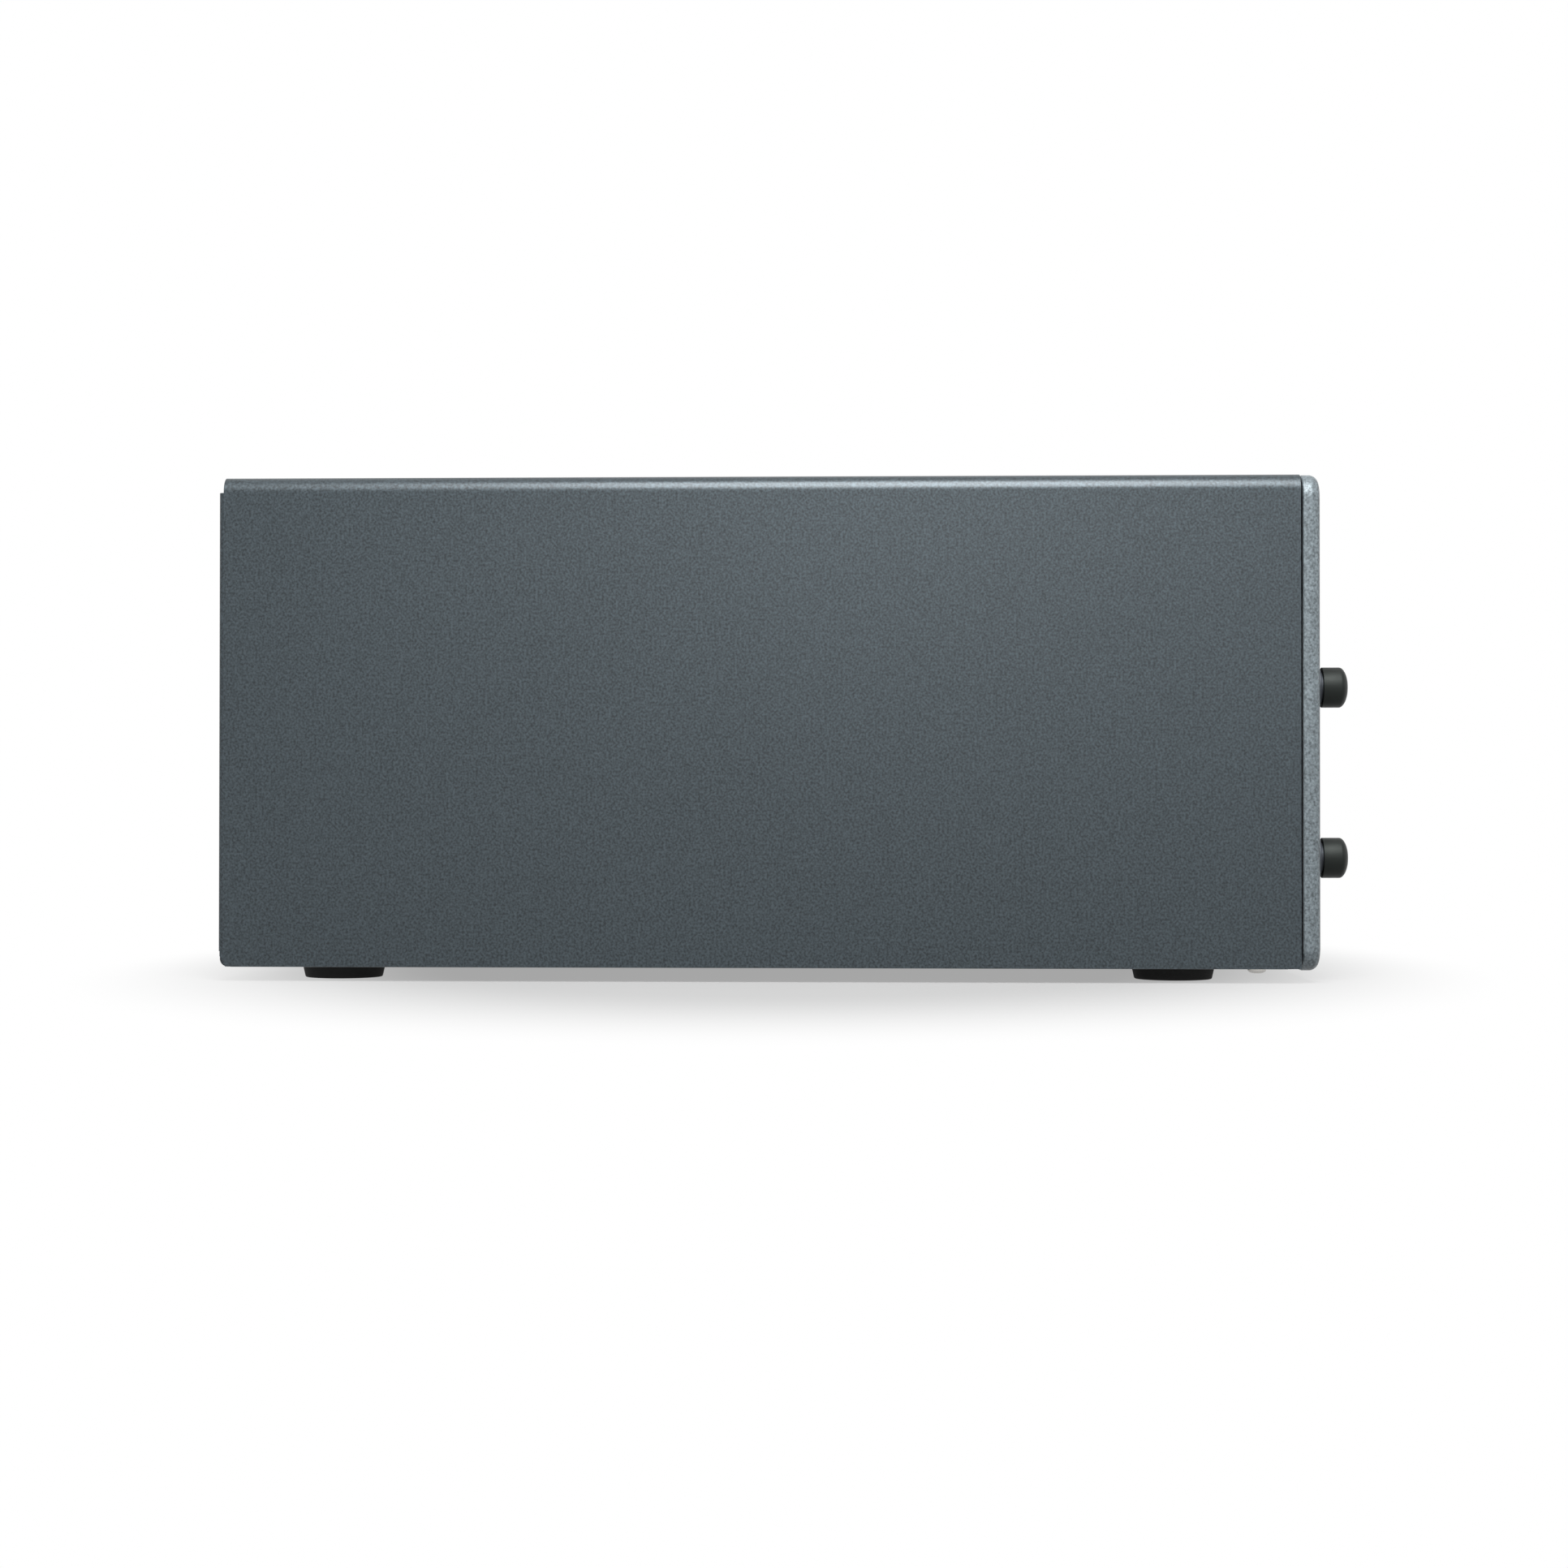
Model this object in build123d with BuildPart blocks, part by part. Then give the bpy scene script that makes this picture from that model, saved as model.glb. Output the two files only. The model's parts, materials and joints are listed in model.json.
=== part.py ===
from build123d import *
import os
from math import atan2, cos, degrees, pi, radians, sin, sqrt

os.makedirs("parts", exist_ok=True)

# A desktop enclosure for two half-height data tape drives, one above the other.
# All sizes are in millimetres. X runs across the enclosure, -Y is its front, +Z is up.
# The origin is on the surface that the feet stand on, at the middle of the whole depth.

# Clearances that pieces share
seat_gap = 0.3  # between a piece and what it rests against
running_gap = 0.4  # beside a piece that slides
shaft_gap = 0.1  # on the radius, round a shaft that turns
press_gap = 0.05  # on the radius, round a pressed-in piece
screw_gap = 0.3  # on the radius, round a screw

# Round pieces that don't turn on their own are drawn with flats, in these numbers of sides
screw_sides = 6
post_sides = 8
hub_sides = 16
knob_sides = 20
rim_sides = 24

# Enclosure
side_bay_width = 22.0  # from the wall of the cage to the side of the cover
rear_bay_depth = 117.7  # from the drives to the back of the cover
foot_height = 4.0
cover_sheet = 1.2
fold_radius = 4.8
rear_fold_radius = 1.4
rear_flange_width = 18.0
rear_flange_rise = 4.5
rear_top_setback = 1.4
corner_cut_depth = 1.7
corner_cut_height = 3.1

# Front bezel
bezel_thickness = 5.2
bezel_margin = 0.3
bezel_drop = 0.4
bezel_corner = 7.2
bezel_edge = 1.2
bezel_seam = 0.5
window_margin = 7.6  # from a window for a sled to the side
window_sill = 9.4  # from the lower edge of the bezel to the lower window
window_rib = 3.4  # between the windows
window_clearance = 3.05  # above and below a drive
vent_margin = 12.0  # from the air opening to the side
vent_rib = 7.4  # above and below the air opening
vent_height = 24.0
mesh_thickness = 0.8
mesh_border = 2.5
mesh_slot_width = 5.0
mesh_slot_pitch = 8.0
light_radius = 1.5
light_inset = 6.0  # from the side of the bezel to the power light
light_flange = 1.0
light_flange_radius = 3.0

# Bottom pan
pan_sheet = 1.2
pan_bend = 2.4
pan_side_rise = 12.0
pan_front_rise = 5.0
pan_rear_rise = 4.2
pan_rear_proud = 0.6
pan_corner_relief = 3.6
pan_slot_length = 44.0
pan_slot_width = 4.5
pan_slot_pitch = 14.0
pan_slot_count = 5
pan_slot_spacing = 72.0
pan_slot_setback = 110.0

# Rubber feet
foot_top_radius = 12.5
foot_bottom_radius = 11.6
foot_inset = 25.0
front_foot_setback = 40.8
rear_foot_setback = 33.0

# Screws that hold the case
screw_head_radius = 2.75
screw_head_height = 1.3
screw_shank_radius = 1.5
screw_length = 4.0
front_screw_inset = 8.0
front_screw_setback = 17.8
flange_screw_rise = 44.0

# Cage that carries the sleds
cage_sheet = 1.2
cage_side_space = 11.0  # beside a drive
cage_bend = 1.0
cage_foot_margin = 5.0
cage_flange_margin = 6.0
cage_headroom = 2.0  # above the upper window
cage_window_length = 60.0
cage_window_height = 12.0
cage_window_pitch = 80.0
nut_radius = 4.0
nut_depth = 3.0

# Rails that guide the sleds
rail_sheet = 1.0
rail_depth = 6.0
rail_setback = 8.0

# Sled
tray_sheet = 1.0
tray_rise = 16.0
tray_flange_gap = 0.4
tray_ear = 12.0
tray_stop_inset = 9.0
tray_stop_width = 12.0
tray_stop_rise = 6.0
tray_window_length = 70.0
tray_window_pitch = 95.0
tray_window_margin = 23.0
sled_front_thickness = 3.0

# Captive thumbscrews
thumb_inset = 14.5  # from the side of the cover
knob_radius = 6.0
knob_projection = 10.4  # from the front face to the end of the knob
knob_chamfer = 1.1
ferrule_height = 2.4
ferrule_radius = 6.0
ferrule_shank_radius = 3.5
ferrule_flare = 0.6
clip_thickness = 0.4
clip_gap = 0.05
clip_radius = 4.5
thumb_shaft_radius = 2.0
thread_engagement = 3.8

# Tape drive, half height
base_floor = 2.5
base_wall = 1.6
lid_sheet = 1.3
lid_boss = 7.0
lid_screw_radius = 1.2
lid_screw_head_radius = 2.3
lid_screw_head_height = 0.8
lid_screw_length = 6.0
drive_bezel_depth = 5.0
slot_width = 105.5
slot_left_margin = 9.25
slot_right_margin = 31.25
slot_headroom = 2.5  # more than the height of a cartridge
slot_floor = 12.65  # from the bottom of the drive to the slot
slot_roof = 4.65  # from the slot to the top of the drive
door_thickness = 1.6
door_gap = 0.35
door_axis_drop = 1.6  # below the top edge of the slot
door_axis_setback = 2.0
door_pin_radius = 0.7
door_pin_length = 1.2
button_width = 12.0
button_height = 5.0
button_inset = 15.0  # from the side of the drive
button_rise = 8.65  # above the bottom of the drive
button_proud = 0.8
button_gap = 0.3
button_lip = 1.0
button_lip_depth = 1.6
button_face_depth = 2.0
display_width = 22.0
display_height = 8.0
display_depth = 0.6
display_inset = 16.0
display_drop = 12.65  # below the top of the drive
bezel_slot_count = 9
bezel_slot_pitch = 6.5
bezel_slot_width = 3.0
bezel_slot_height = 5.0
bezel_slot_inset = 35.0
bezel_slot_drop = 7.0  # below the slot

# Cartridge mechanism
cartridge_height = 21.5
cartridge_lift = 0.5  # above the lower edge of the slot
carriage_sheet = 1.0
carriage_length = 84.0
carriage_setback = 26.0  # behind the front of the drive base
carriage_travel = 12.0
carriage_rib_width = 2.5
carriage_rib_inset = 6.75
hub_setback = 64.0  # from the front of the drive base to the supply hub
hub_radius = 17.0
hub_spindle_radius = 3.0
hub_boss_radius = 6.0
hub_boss_height = 2.0
hub_plate = 2.0
hub_ring = 3.0
hub_tooth_count = 8
hub_tooth_radius = 11.0
hub_tooth_height = 1.2
hub_tooth_width = 2.2
hub_tooth_inset = 0.6
hub_opening_radius = 19.5

reel_radius = 38.0
reel_hub_radius = 21.0
reel_flange = 1.2
reel_gap = 13.4  # between the flanges
reel_margin = 5.4  # from the reel to the side wall
reel_rear_margin = 3.4
reel_rise = 3.3  # above the lower edge of the slot
reel_spindle_radius = 4.0
reel_boss_radius = 8.0

roller_radius = 4.5
roller_flange_radius = 5.8
roller_flange = 1.0
guide_plate = 1.5
guide_margin = 3.4  # from the deck plate to the side wall
guide_reel_gap = 8.0
guide_lead = 8.0  # in front of the middle of the reel
guide_plate_depth = 59.0
guide_post_radius = 1.5
guide_post_spacing = 16.0
guide_post_extra = 1.0
inner_roller_inset = 13.0
inner_roller_spread = 52.0
outer_roller_inset = 9.0
outer_roller_spread = 34.0
roller_sides = 8

head_width = 22.0
head_depth = 9.0
head_height = 15.0
head_nose_width = 9.0
head_nose_depth = 9.0
head_inset = 22.0  # from the outer edge of the deck plate
head_travel = 4.0

motor_radius = 8.0
motor_length = 24.0
motor_flat = 5.5
worm_radius = 2.5
worm_length = 12.0
motor_inset = 15.0
motor_setback = 40.0

board_thickness = 1.6
board_width = 70.0
board_depth = 76.0
board_rise = 3.0  # above the floor of the drive base
plug_width = 50.0
plug_height = 4.4
plug_length = 7.0
plug_inset = 45.0
chip_size = 16.0
chip_height = 1.6
board_post = 2.5
board_post_inset = 4.0
chip_inset = 16.0
plug_root = 3.0

# Backplane behind the sleds
socket_wall = 2.0
socket_depth = 9.0
socket_setback = 1.0
backplane_thickness = 1.6
backplane_lift = 6.0

# Power supply, inlet and switch
supply_width = 120.0
supply_clearance = 14.9  # behind the cage
supply_height = 40.0
supply_inset = 8.0  # from the side of the cover
supply_screw_inset = 30.0
supply_slot_count = 8
supply_slot_pitch = 9.0
supply_slot_width = 4.0
supply_slot_height = 22.0
supply_slot_depth = 1.5
inlet_inset = 38.0
inlet_z = 44.0
inlet_flange_width = 31.0
inlet_flange_height = 58.0
inlet_flange_thickness = 2.5
inlet_body_width = 27.0
inlet_body_height = 54.0
inlet_body_depth = 22.0
inlet_cavity_width = 24.0
inlet_cavity_height = 16.4
inlet_cavity_depth = 16.0
inlet_cavity_drop = 11.5
inlet_cavity_cut = 4.0
inlet_pin_width = 2.0
inlet_pin_height = 4.0
inlet_pin_length = 13.0
inlet_pin_spacing = 14.0
rocker_rise = 15.0
rocker_width = 13.0
rocker_height = 18.0
rocker_side_gap = 0.4
rocker_end_gap = 1.0
rocker_end = 6.0  # from the pivot to the ends of the outer face
rocker_dish = 1.2
rocker_root = 2.0
rocker_proud = 3.0  # behind the back of the cover
rocker_tilt = 12.0
rocker_pivot_radius = 1.0
rocker_pivot_length = 1.2
rocker_bay_depth = 14.0

# Cooling fans
fan_size = 60.0
fan_thickness = 15.0
fan_rim = 1.5
fan_hub_radius = 13.0
fan_tip_gap = 0.8
fan_side_gap = 8.0
fan_headroom = 16.0  # below the top of the cover
fan_blade_count = 7
fan_blade_thickness = 1.2
fan_blade_pitch = 35.0
fan_blade_chord = 14.0
fan_blade_root = 2.0
fan_base = 2.0
fan_base_margin = 1.0
fan_strut_overlap = 1.0
fan_strut_width = 3.0
fan_strut_count = 3
fan_shaft_radius = 1.5
fan_shaft_length = 8.0
fan_face_gap = 0.5
grille_margin = 2.0
grille_slot_width = 5.6
grille_slot_pitch = 9.0
grille_rib = 3.0
rear_panel_sheet = 1.2
rear_panel_gap = 0.2

# Interface board
interface_width = 70.0
interface_depth = 56.0
interface_inset = 61.0
interface_lift = 5.8  # above the power supply
interface_post = 3.0
interface_post_inset = 6.0
port_width = 9.2
port_height = 3.4
port_depth = 8.0
port_wall = 0.5
port_tongue = 0.8
port_tongue_gap = 0.5
port_spacing = 22.0

# The drive, worked out from the cartridge and the reel
slot_height = cartridge_height + slot_headroom
drive_width = slot_left_margin + slot_width + slot_right_margin
drive_height = slot_floor + slot_height + slot_roof
reel_setback = carriage_setback + carriage_length + carriage_travel + reel_radius
drive_depth = reel_setback + reel_radius + reel_rear_margin + base_wall
slot_centre_x = (slot_left_margin - slot_right_margin) / 2
reel_x = drive_width / 2 - base_wall - reel_margin - reel_radius
guide_left_x = -drive_width / 2 + base_wall + guide_margin
guide_right_x = reel_x - reel_radius - guide_reel_gap
guide_setback = reel_setback - guide_lead
button_x = drive_width / 2 - button_inset
display_x = drive_width / 2 - display_inset
motor_x = drive_width / 2 - motor_inset
plug_x = drive_width / 2 - plug_inset

# The enclosure, worked out from the drives
window_height = drive_height + 2 * window_clearance
sled_pitch = window_height + window_rib
cage_half_width = drive_width / 2 + cage_side_space
half_width = cage_half_width + side_bay_width
body_width = 2 * half_width
window_width = body_width - 2 * window_margin
vent_width = body_width - 2 * vent_margin
bezel_height = window_sill + window_height + sled_pitch + 2 * vent_rib + vent_height
body_height = bezel_height - bezel_drop
body_depth = drive_bezel_depth + seat_gap + drive_depth + rear_bay_depth
cage_foot_reach = half_width - cage_foot_margin
cage_flange_reach = half_width - cage_flange_margin
thumb_offset = half_width - thumb_inset

# Places worked out from the sizes above
overall_depth = knob_projection + body_depth + rocker_proud
front_y = knob_projection - overall_depth / 2
rear_y = front_y + body_depth
base_z = foot_height
top_z = base_z + body_height
bezel_bottom_z = base_z - bezel_drop
bezel_back_y = front_y + bezel_thickness
cover_front_y = bezel_back_y + bezel_seam
cover_bottom_z = base_z + seat_gap
sled_z = bezel_bottom_z + window_sill + window_height / 2
vent_z = top_z - vent_rib - vent_height / 2
pan_top_z = base_z + pan_sheet
cage_front_y = bezel_back_y + seat_gap
cage_top_z = sled_z + sled_pitch + window_height / 2 + cage_headroom
drive_front_y = front_y + drive_bezel_depth + seat_gap
drive_rear_y = drive_front_y + drive_depth
drive_bottom_z = sled_z - drive_height / 2
drive_top_z = sled_z + drive_height / 2
base_floor_z = drive_bottom_z + base_floor
lid_bottom_z = drive_top_z - lid_sheet
slot_bottom_z = drive_bottom_z + slot_floor
slot_top_z = slot_bottom_z + slot_height
socket_front_y = drive_rear_y + socket_setback
backplane_y = socket_front_y + socket_depth
cage_rear_y = backplane_y + backplane_thickness + seat_gap
panel_back_y = rear_y - cover_sheet - rear_panel_gap
panel_front_y = panel_back_y - rear_panel_sheet
sled_window_width = window_width - 2 * running_gap
sled_window_height = window_height - 2 * running_gap
supply_x = supply_inset + supply_width / 2 - half_width
supply_length = panel_front_y - seat_gap - cage_rear_y - supply_clearance
supply_y = panel_front_y - seat_gap - supply_length / 2
inlet_x = half_width - inlet_inset
interface_x = interface_inset - half_width
interface_z = pan_top_z + supply_height + interface_lift
fan_spacing = fan_size + fan_side_gap
fan_bore_radius = fan_size / 2 - fan_rim
fan_z = top_z - fan_headroom - fan_size / 2


def upright(y):
    """Plane that faces the front at depth y; its local axes are X and Z."""
    return Plane.XZ.offset(-y)


# The cover: one sheet folded over the top and down both sides
with BuildPart() as cover:
    with BuildSketch(upright(cover_front_y)):
        with BuildLine():
            FilletPolyline(
                (-half_width, cover_bottom_z),
                (-half_width, top_z),
                (half_width, top_z),
                (half_width, cover_bottom_z),
                radius=fold_radius,
            )
            offset(amount=cover_sheet, side=Side.RIGHT)
        make_face()
    extrude(amount=-(rear_y - cover_front_y))
    # The top stops short of the side flanges, with a relief below each fold
    with BuildSketch(upright(rear_y - rear_top_setback)):
        with Locations((0, top_z)):
            Rectangle(body_width, fold_radius, align=(Align.CENTER, Align.MAX))
    extrude(amount=-rear_top_setback, mode=Mode.SUBTRACT)
    flange_bottom_z = cover_bottom_z + rear_flange_rise
    flange_top_z = top_z - fold_radius
    with BuildSketch(upright(rear_y - cover_sheet)):
        for side in (-1, 1):
            with Locations((side * (half_width - rear_flange_width / 2), flange_bottom_z)):
                Rectangle(
                    rear_flange_width,
                    flange_top_z - flange_bottom_z,
                    align=(Align.CENTER, Align.MIN),
                )
    extrude(amount=-cover_sheet)
    rear_edges = cover.edges().filter_by(Axis.Z).group_by(Axis.Y)[-1]
    fillet(rear_edges.group_by(Axis.X)[0] + rear_edges.group_by(Axis.X)[-1], rear_fold_radius)
    low_edges = cover.edges().filter_by(Axis.X).group_by(Axis.Z)[0].group_by(Axis.Y)[-1]
    chamfer(low_edges, corner_cut_depth, corner_cut_height)
    # Screw holes through the flanges
    flange_screw_x = half_width - rear_flange_width / 2
    flange_screw_low_z = flange_bottom_z + flange_screw_rise
    flange_screw_high_z = flange_top_z - flange_screw_rise
    flange_screw_places = [
        (side * flange_screw_x, z)
        for side in (-1, 1)
        for z in (flange_screw_low_z, flange_screw_high_z)
    ]
    with BuildSketch(upright(rear_y - cover_sheet)):
        with Locations(*flange_screw_places):
            RegularPolygon(screw_shank_radius + screw_gap, screw_sides, major_radius=False)
    extrude(amount=-cover_sheet, mode=Mode.SUBTRACT)


# Front bezel: a thick plate with a window for each sled and an opening for air
window_places = [(0, sled_z), (0, sled_z + sled_pitch)]
light_x = body_width / 2 + bezel_margin - light_inset
with BuildPart() as front_bezel:
    with BuildSketch(upright(front_y)):
        with Locations((0, bezel_bottom_z + bezel_height / 2)):
            RectangleRounded(body_width + 2 * bezel_margin, bezel_height, bezel_corner)
        with Locations(*window_places):
            Rectangle(window_width, window_height, mode=Mode.SUBTRACT)
        with Locations((0, vent_z)):
            Rectangle(vent_width, vent_height, mode=Mode.SUBTRACT)
        with Locations((light_x, vent_z)):
            RegularPolygon(light_radius + press_gap, post_sides, mode=Mode.SUBTRACT)
    extrude(amount=-bezel_thickness)
    front_loop = front_bezel.faces().sort_by(Axis.Y)[0].outer_wire().edges()
    chamfer(front_loop, bezel_edge)

# Perforated sheet behind the air opening
with BuildPart() as vent_mesh:
    mesh_width = vent_width + 2 * mesh_border
    mesh_height = vent_height + 2 * mesh_border
    mesh_slot_count = int(vent_width / mesh_slot_pitch)
    with BuildSketch(upright(bezel_back_y + seat_gap)):
        with Locations((0, vent_z)):
            Rectangle(mesh_width, mesh_height)
            with GridLocations(mesh_slot_pitch, 0, mesh_slot_count, 1):
                Rectangle(mesh_slot_width, vent_height, mode=Mode.SUBTRACT)
    extrude(amount=-mesh_thickness)

# Light pipe of the power light, with a flange behind the bezel
with BuildPart() as power_light:
    with BuildSketch(upright(front_y)):
        with Locations((light_x, vent_z)):
            RegularPolygon(light_radius, post_sides)
    extrude(amount=-bezel_thickness)
    with BuildSketch(upright(bezel_back_y)):
        with Locations((light_x, vent_z)):
            RegularPolygon(light_flange_radius, post_sides)
    extrude(amount=-light_flange)

# Bottom pan: a floor with four upturned sides, notched at the corners
pan_half_width = half_width - cover_sheet - seat_gap
pan_front_y = cover_front_y
pan_rear_y = rear_y + pan_rear_proud
pan_screw_places = [
    (side * (half_width - front_screw_inset), front_y + front_screw_setback) for side in (-1, 1)
]
pan_screw_places += [
    (supply_x + side * (supply_width / 2 - supply_screw_inset), supply_y) for side in (-1, 1)
]
with BuildPart() as bottom_pan:
    with BuildSketch(upright(pan_front_y + pan_corner_relief)):
        with BuildLine():
            FilletPolyline(
                (-pan_half_width, base_z + pan_side_rise),
                (-pan_half_width, base_z),
                (pan_half_width, base_z),
                (pan_half_width, base_z + pan_side_rise),
                radius=pan_bend,
            )
            offset(amount=pan_sheet, side=Side.LEFT)
        make_face()
    extrude(amount=-(pan_rear_y - pan_front_y - 2 * pan_corner_relief))
    lip_half_width = pan_half_width - pan_corner_relief
    with BuildSketch(Plane.YZ.offset(-lip_half_width)):
        with BuildLine():
            FilletPolyline(
                (pan_front_y, base_z + pan_front_rise),
                (pan_front_y, base_z),
                (pan_rear_y, base_z),
                (pan_rear_y, base_z + pan_rear_rise),
                radius=pan_bend,
            )
            offset(amount=pan_sheet, side=Side.LEFT)
        make_face()
    extrude(amount=2 * lip_half_width)
    # Air slots under the drives
    with BuildSketch(Plane.XY.offset(base_z)):
        with Locations((0, front_y + pan_slot_setback)):
            with GridLocations(pan_slot_spacing, pan_slot_pitch, 2, pan_slot_count):
                Rectangle(pan_slot_length, pan_slot_width)
        with Locations(*pan_screw_places):
            RegularPolygon(screw_shank_radius + screw_gap, screw_sides, major_radius=False)
    extrude(amount=pan_sheet, mode=Mode.SUBTRACT)

# Four tapered rubber feet
foot_x = half_width - foot_inset
foot_rows_y = (front_y + front_foot_setback, rear_y - rear_foot_setback)
foot_places = [(side * foot_x, y) for side in (-1, 1) for y in foot_rows_y]
foot_taper = degrees(atan2(foot_top_radius - foot_bottom_radius, foot_height))
with BuildPart() as rubber_feet:
    with BuildSketch(Plane.XY.offset(base_z)):
        with Locations(*foot_places):
            RegularPolygon(foot_top_radius, knob_sides)
    extrude(amount=-foot_height, taper=foot_taper)

# Rear panel: fan grilles, a vent for the power supply, the inlet and the ports
panel_half_width = half_width - cover_sheet - seat_gap
panel_bottom_z = base_z + pan_bend + seat_gap
panel_corner = (2 - sqrt(2)) * (fold_radius - cover_sheet)
panel_top_z = top_z - cover_sheet - seat_gap
fan_places = [(side * fan_spacing / 2, fan_z) for side in (-1, 1)]
port_places = [(interface_x + side * port_spacing / 2, interface_z) for side in (-1, 1)]
port_centre_rise = board_thickness + port_height / 2
grille_radius = fan_bore_radius - grille_margin
grille_row_count = int(grille_radius / grille_slot_pitch)
with BuildPart() as rear_panel:
    with BuildSketch(upright(panel_front_y)) as panel_outline:
        with Locations((0, (panel_bottom_z + panel_top_z) / 2)):
            Rectangle(2 * panel_half_width, panel_top_z - panel_bottom_z)
        chamfer(panel_outline.vertices().group_by(Axis.Y)[-1], panel_corner)
        # Each grille is rows of slots cut to a circle, with an upright rib in the middle
        for fan_x, fan_height in fan_places:
            for row in range(-grille_row_count, grille_row_count + 1):
                row_z = row * grille_slot_pitch
                half_chord = sqrt(grille_radius**2 - row_z**2)
                slot_length = half_chord - grille_rib / 2
                slot_offset = (half_chord + grille_rib / 2) / 2
                with Locations(
                    (fan_x - slot_offset, fan_height + row_z),
                    (fan_x + slot_offset, fan_height + row_z),
                ):
                    Rectangle(slot_length, grille_slot_width, mode=Mode.SUBTRACT)
        with Locations((supply_x, pan_top_z + supply_height / 2)):
            with GridLocations(supply_slot_pitch, 0, supply_slot_count, 1):
                Rectangle(supply_slot_width, supply_slot_height, mode=Mode.SUBTRACT)
        with Locations((inlet_x, inlet_z)):
            Rectangle(
                inlet_body_width + 2 * press_gap,
                inlet_body_height + 2 * press_gap,
                mode=Mode.SUBTRACT,
            )
        with Locations(*port_places):
            with Locations((0, port_centre_rise)):
                Rectangle(port_width + 2 * seat_gap, port_height + 2 * seat_gap, mode=Mode.SUBTRACT)
        with Locations(*flange_screw_places):
            RegularPolygon(
                screw_shank_radius + screw_gap,
                screw_sides,
                major_radius=False,
                mode=Mode.SUBTRACT,
            )
    extrude(amount=-rear_panel_sheet)

# Cage: one folded sheet over both sleds, with feet and front flanges turned outward
nut_places = [
    (side * thumb_offset, z) for side in (-1, 1) for z in (sled_z, sled_z + sled_pitch)
]
with BuildPart() as drive_cage:
    with BuildSketch(upright(cage_front_y)):
        with BuildLine():
            FilletPolyline(
                (-cage_foot_reach, pan_top_z),
                (-cage_half_width, pan_top_z),
                (-cage_half_width, cage_top_z - cage_sheet),
                (cage_half_width, cage_top_z - cage_sheet),
                (cage_half_width, pan_top_z),
                (cage_foot_reach, pan_top_z),
                radius=(cage_bend + cage_sheet, cage_bend, cage_bend, cage_bend + cage_sheet),
            )
            offset(amount=cage_sheet, side=Side.LEFT)
        make_face()
    extrude(amount=-(cage_rear_y - cage_front_y))
    # The feet are notched for the front lip of the pan
    lip_clear_y = pan_front_y + pan_bend + seat_gap
    lip_clear_z = base_z + pan_front_rise + seat_gap
    with BuildSketch(upright(cage_front_y)):
        with Locations((0, lip_clear_z)):
            Rectangle(2 * cage_foot_reach, lip_clear_z, align=(Align.CENTER, Align.MAX))
    extrude(amount=-(lip_clear_y - cage_front_y), mode=Mode.SUBTRACT)
    with BuildSketch(upright(cage_front_y)):
        for side in (-1, 1):
            with Locations((side * (cage_half_width + cage_flange_reach) / 2, lip_clear_z)):
                Rectangle(
                    cage_flange_reach - cage_half_width,
                    cage_top_z - lip_clear_z,
                    align=(Align.CENTER, Align.MIN),
                )
    extrude(amount=-cage_sheet)
    # Pressed nuts for the thumbscrews
    with BuildSketch(upright(cage_front_y)):
        with Locations(*nut_places):
            RegularPolygon(nut_radius, screw_sides)
    extrude(amount=-(cage_sheet + nut_depth))
    with BuildSketch(upright(cage_front_y)):
        with Locations(*nut_places):
            RegularPolygon(thumb_shaft_radius + screw_gap, post_sides, major_radius=False)
    extrude(amount=-(cage_sheet + nut_depth), mode=Mode.SUBTRACT)
    with BuildSketch(Plane.XY.offset(pan_top_z)):
        with Locations(*pan_screw_places[:2]):
            RegularPolygon(screw_shank_radius + screw_gap, screw_sides, major_radius=False)
    extrude(amount=cage_sheet, mode=Mode.SUBTRACT)
    # Air passes through windows in both walls
    with BuildSketch(Plane.YZ.offset(-cage_half_width - cage_sheet)):
        with Locations(((cage_front_y + cage_rear_y) / 2, sled_z + sled_pitch / 2)):
            with GridLocations(cage_window_pitch, 0, 2, 1):
                Rectangle(cage_window_length, cage_window_height)
    extrude(amount=2 * (cage_half_width + cage_sheet), mode=Mode.SUBTRACT)

# Rails on the cage walls, open toward the sleds
tray_floor_z = drive_bottom_z - seat_gap - tray_sheet
tray_flange_z = tray_floor_z + tray_rise
tray_half_width = drive_width / 2 + seat_gap + tray_sheet
tray_flange_reach = cage_half_width - rail_sheet - tray_flange_gap
rail_height = tray_sheet + 2 * running_gap + 2 * rail_sheet
rail_middle_z = tray_flange_z + tray_sheet / 2
with BuildPart() as sled_rails:
    with BuildSketch(upright(cage_front_y + rail_setback)):
        for side in (-1, 1):
            rail_x = side * (cage_half_width - rail_depth / 2)
            for rail_z in (rail_middle_z, rail_middle_z + sled_pitch):
                with Locations((rail_x, rail_z)):
                    Rectangle(rail_depth, rail_height)
                with Locations((rail_x - side * rail_sheet, rail_z)):
                    Rectangle(rail_depth, rail_height - 2 * rail_sheet, mode=Mode.SUBTRACT)
    extrude(amount=-(cage_rear_y - cage_front_y - 2 * rail_setback))

# Backplane with one socket for each drive
plug_z = base_floor_z + board_rise + board_thickness / 2
socket_places = [(plug_x, plug_z), (plug_x, plug_z + sled_pitch)]
backplane_low_z = pan_top_z + backplane_lift
backplane_high_z = cage_top_z - cage_sheet - backplane_lift
with BuildPart() as backplane_board:
    with BuildSketch(upright(backplane_y)):
        with Locations((0, (backplane_low_z + backplane_high_z) / 2)):
            Rectangle(2 * (cage_half_width - seat_gap), backplane_high_z - backplane_low_z)
    extrude(amount=-backplane_thickness)

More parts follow.
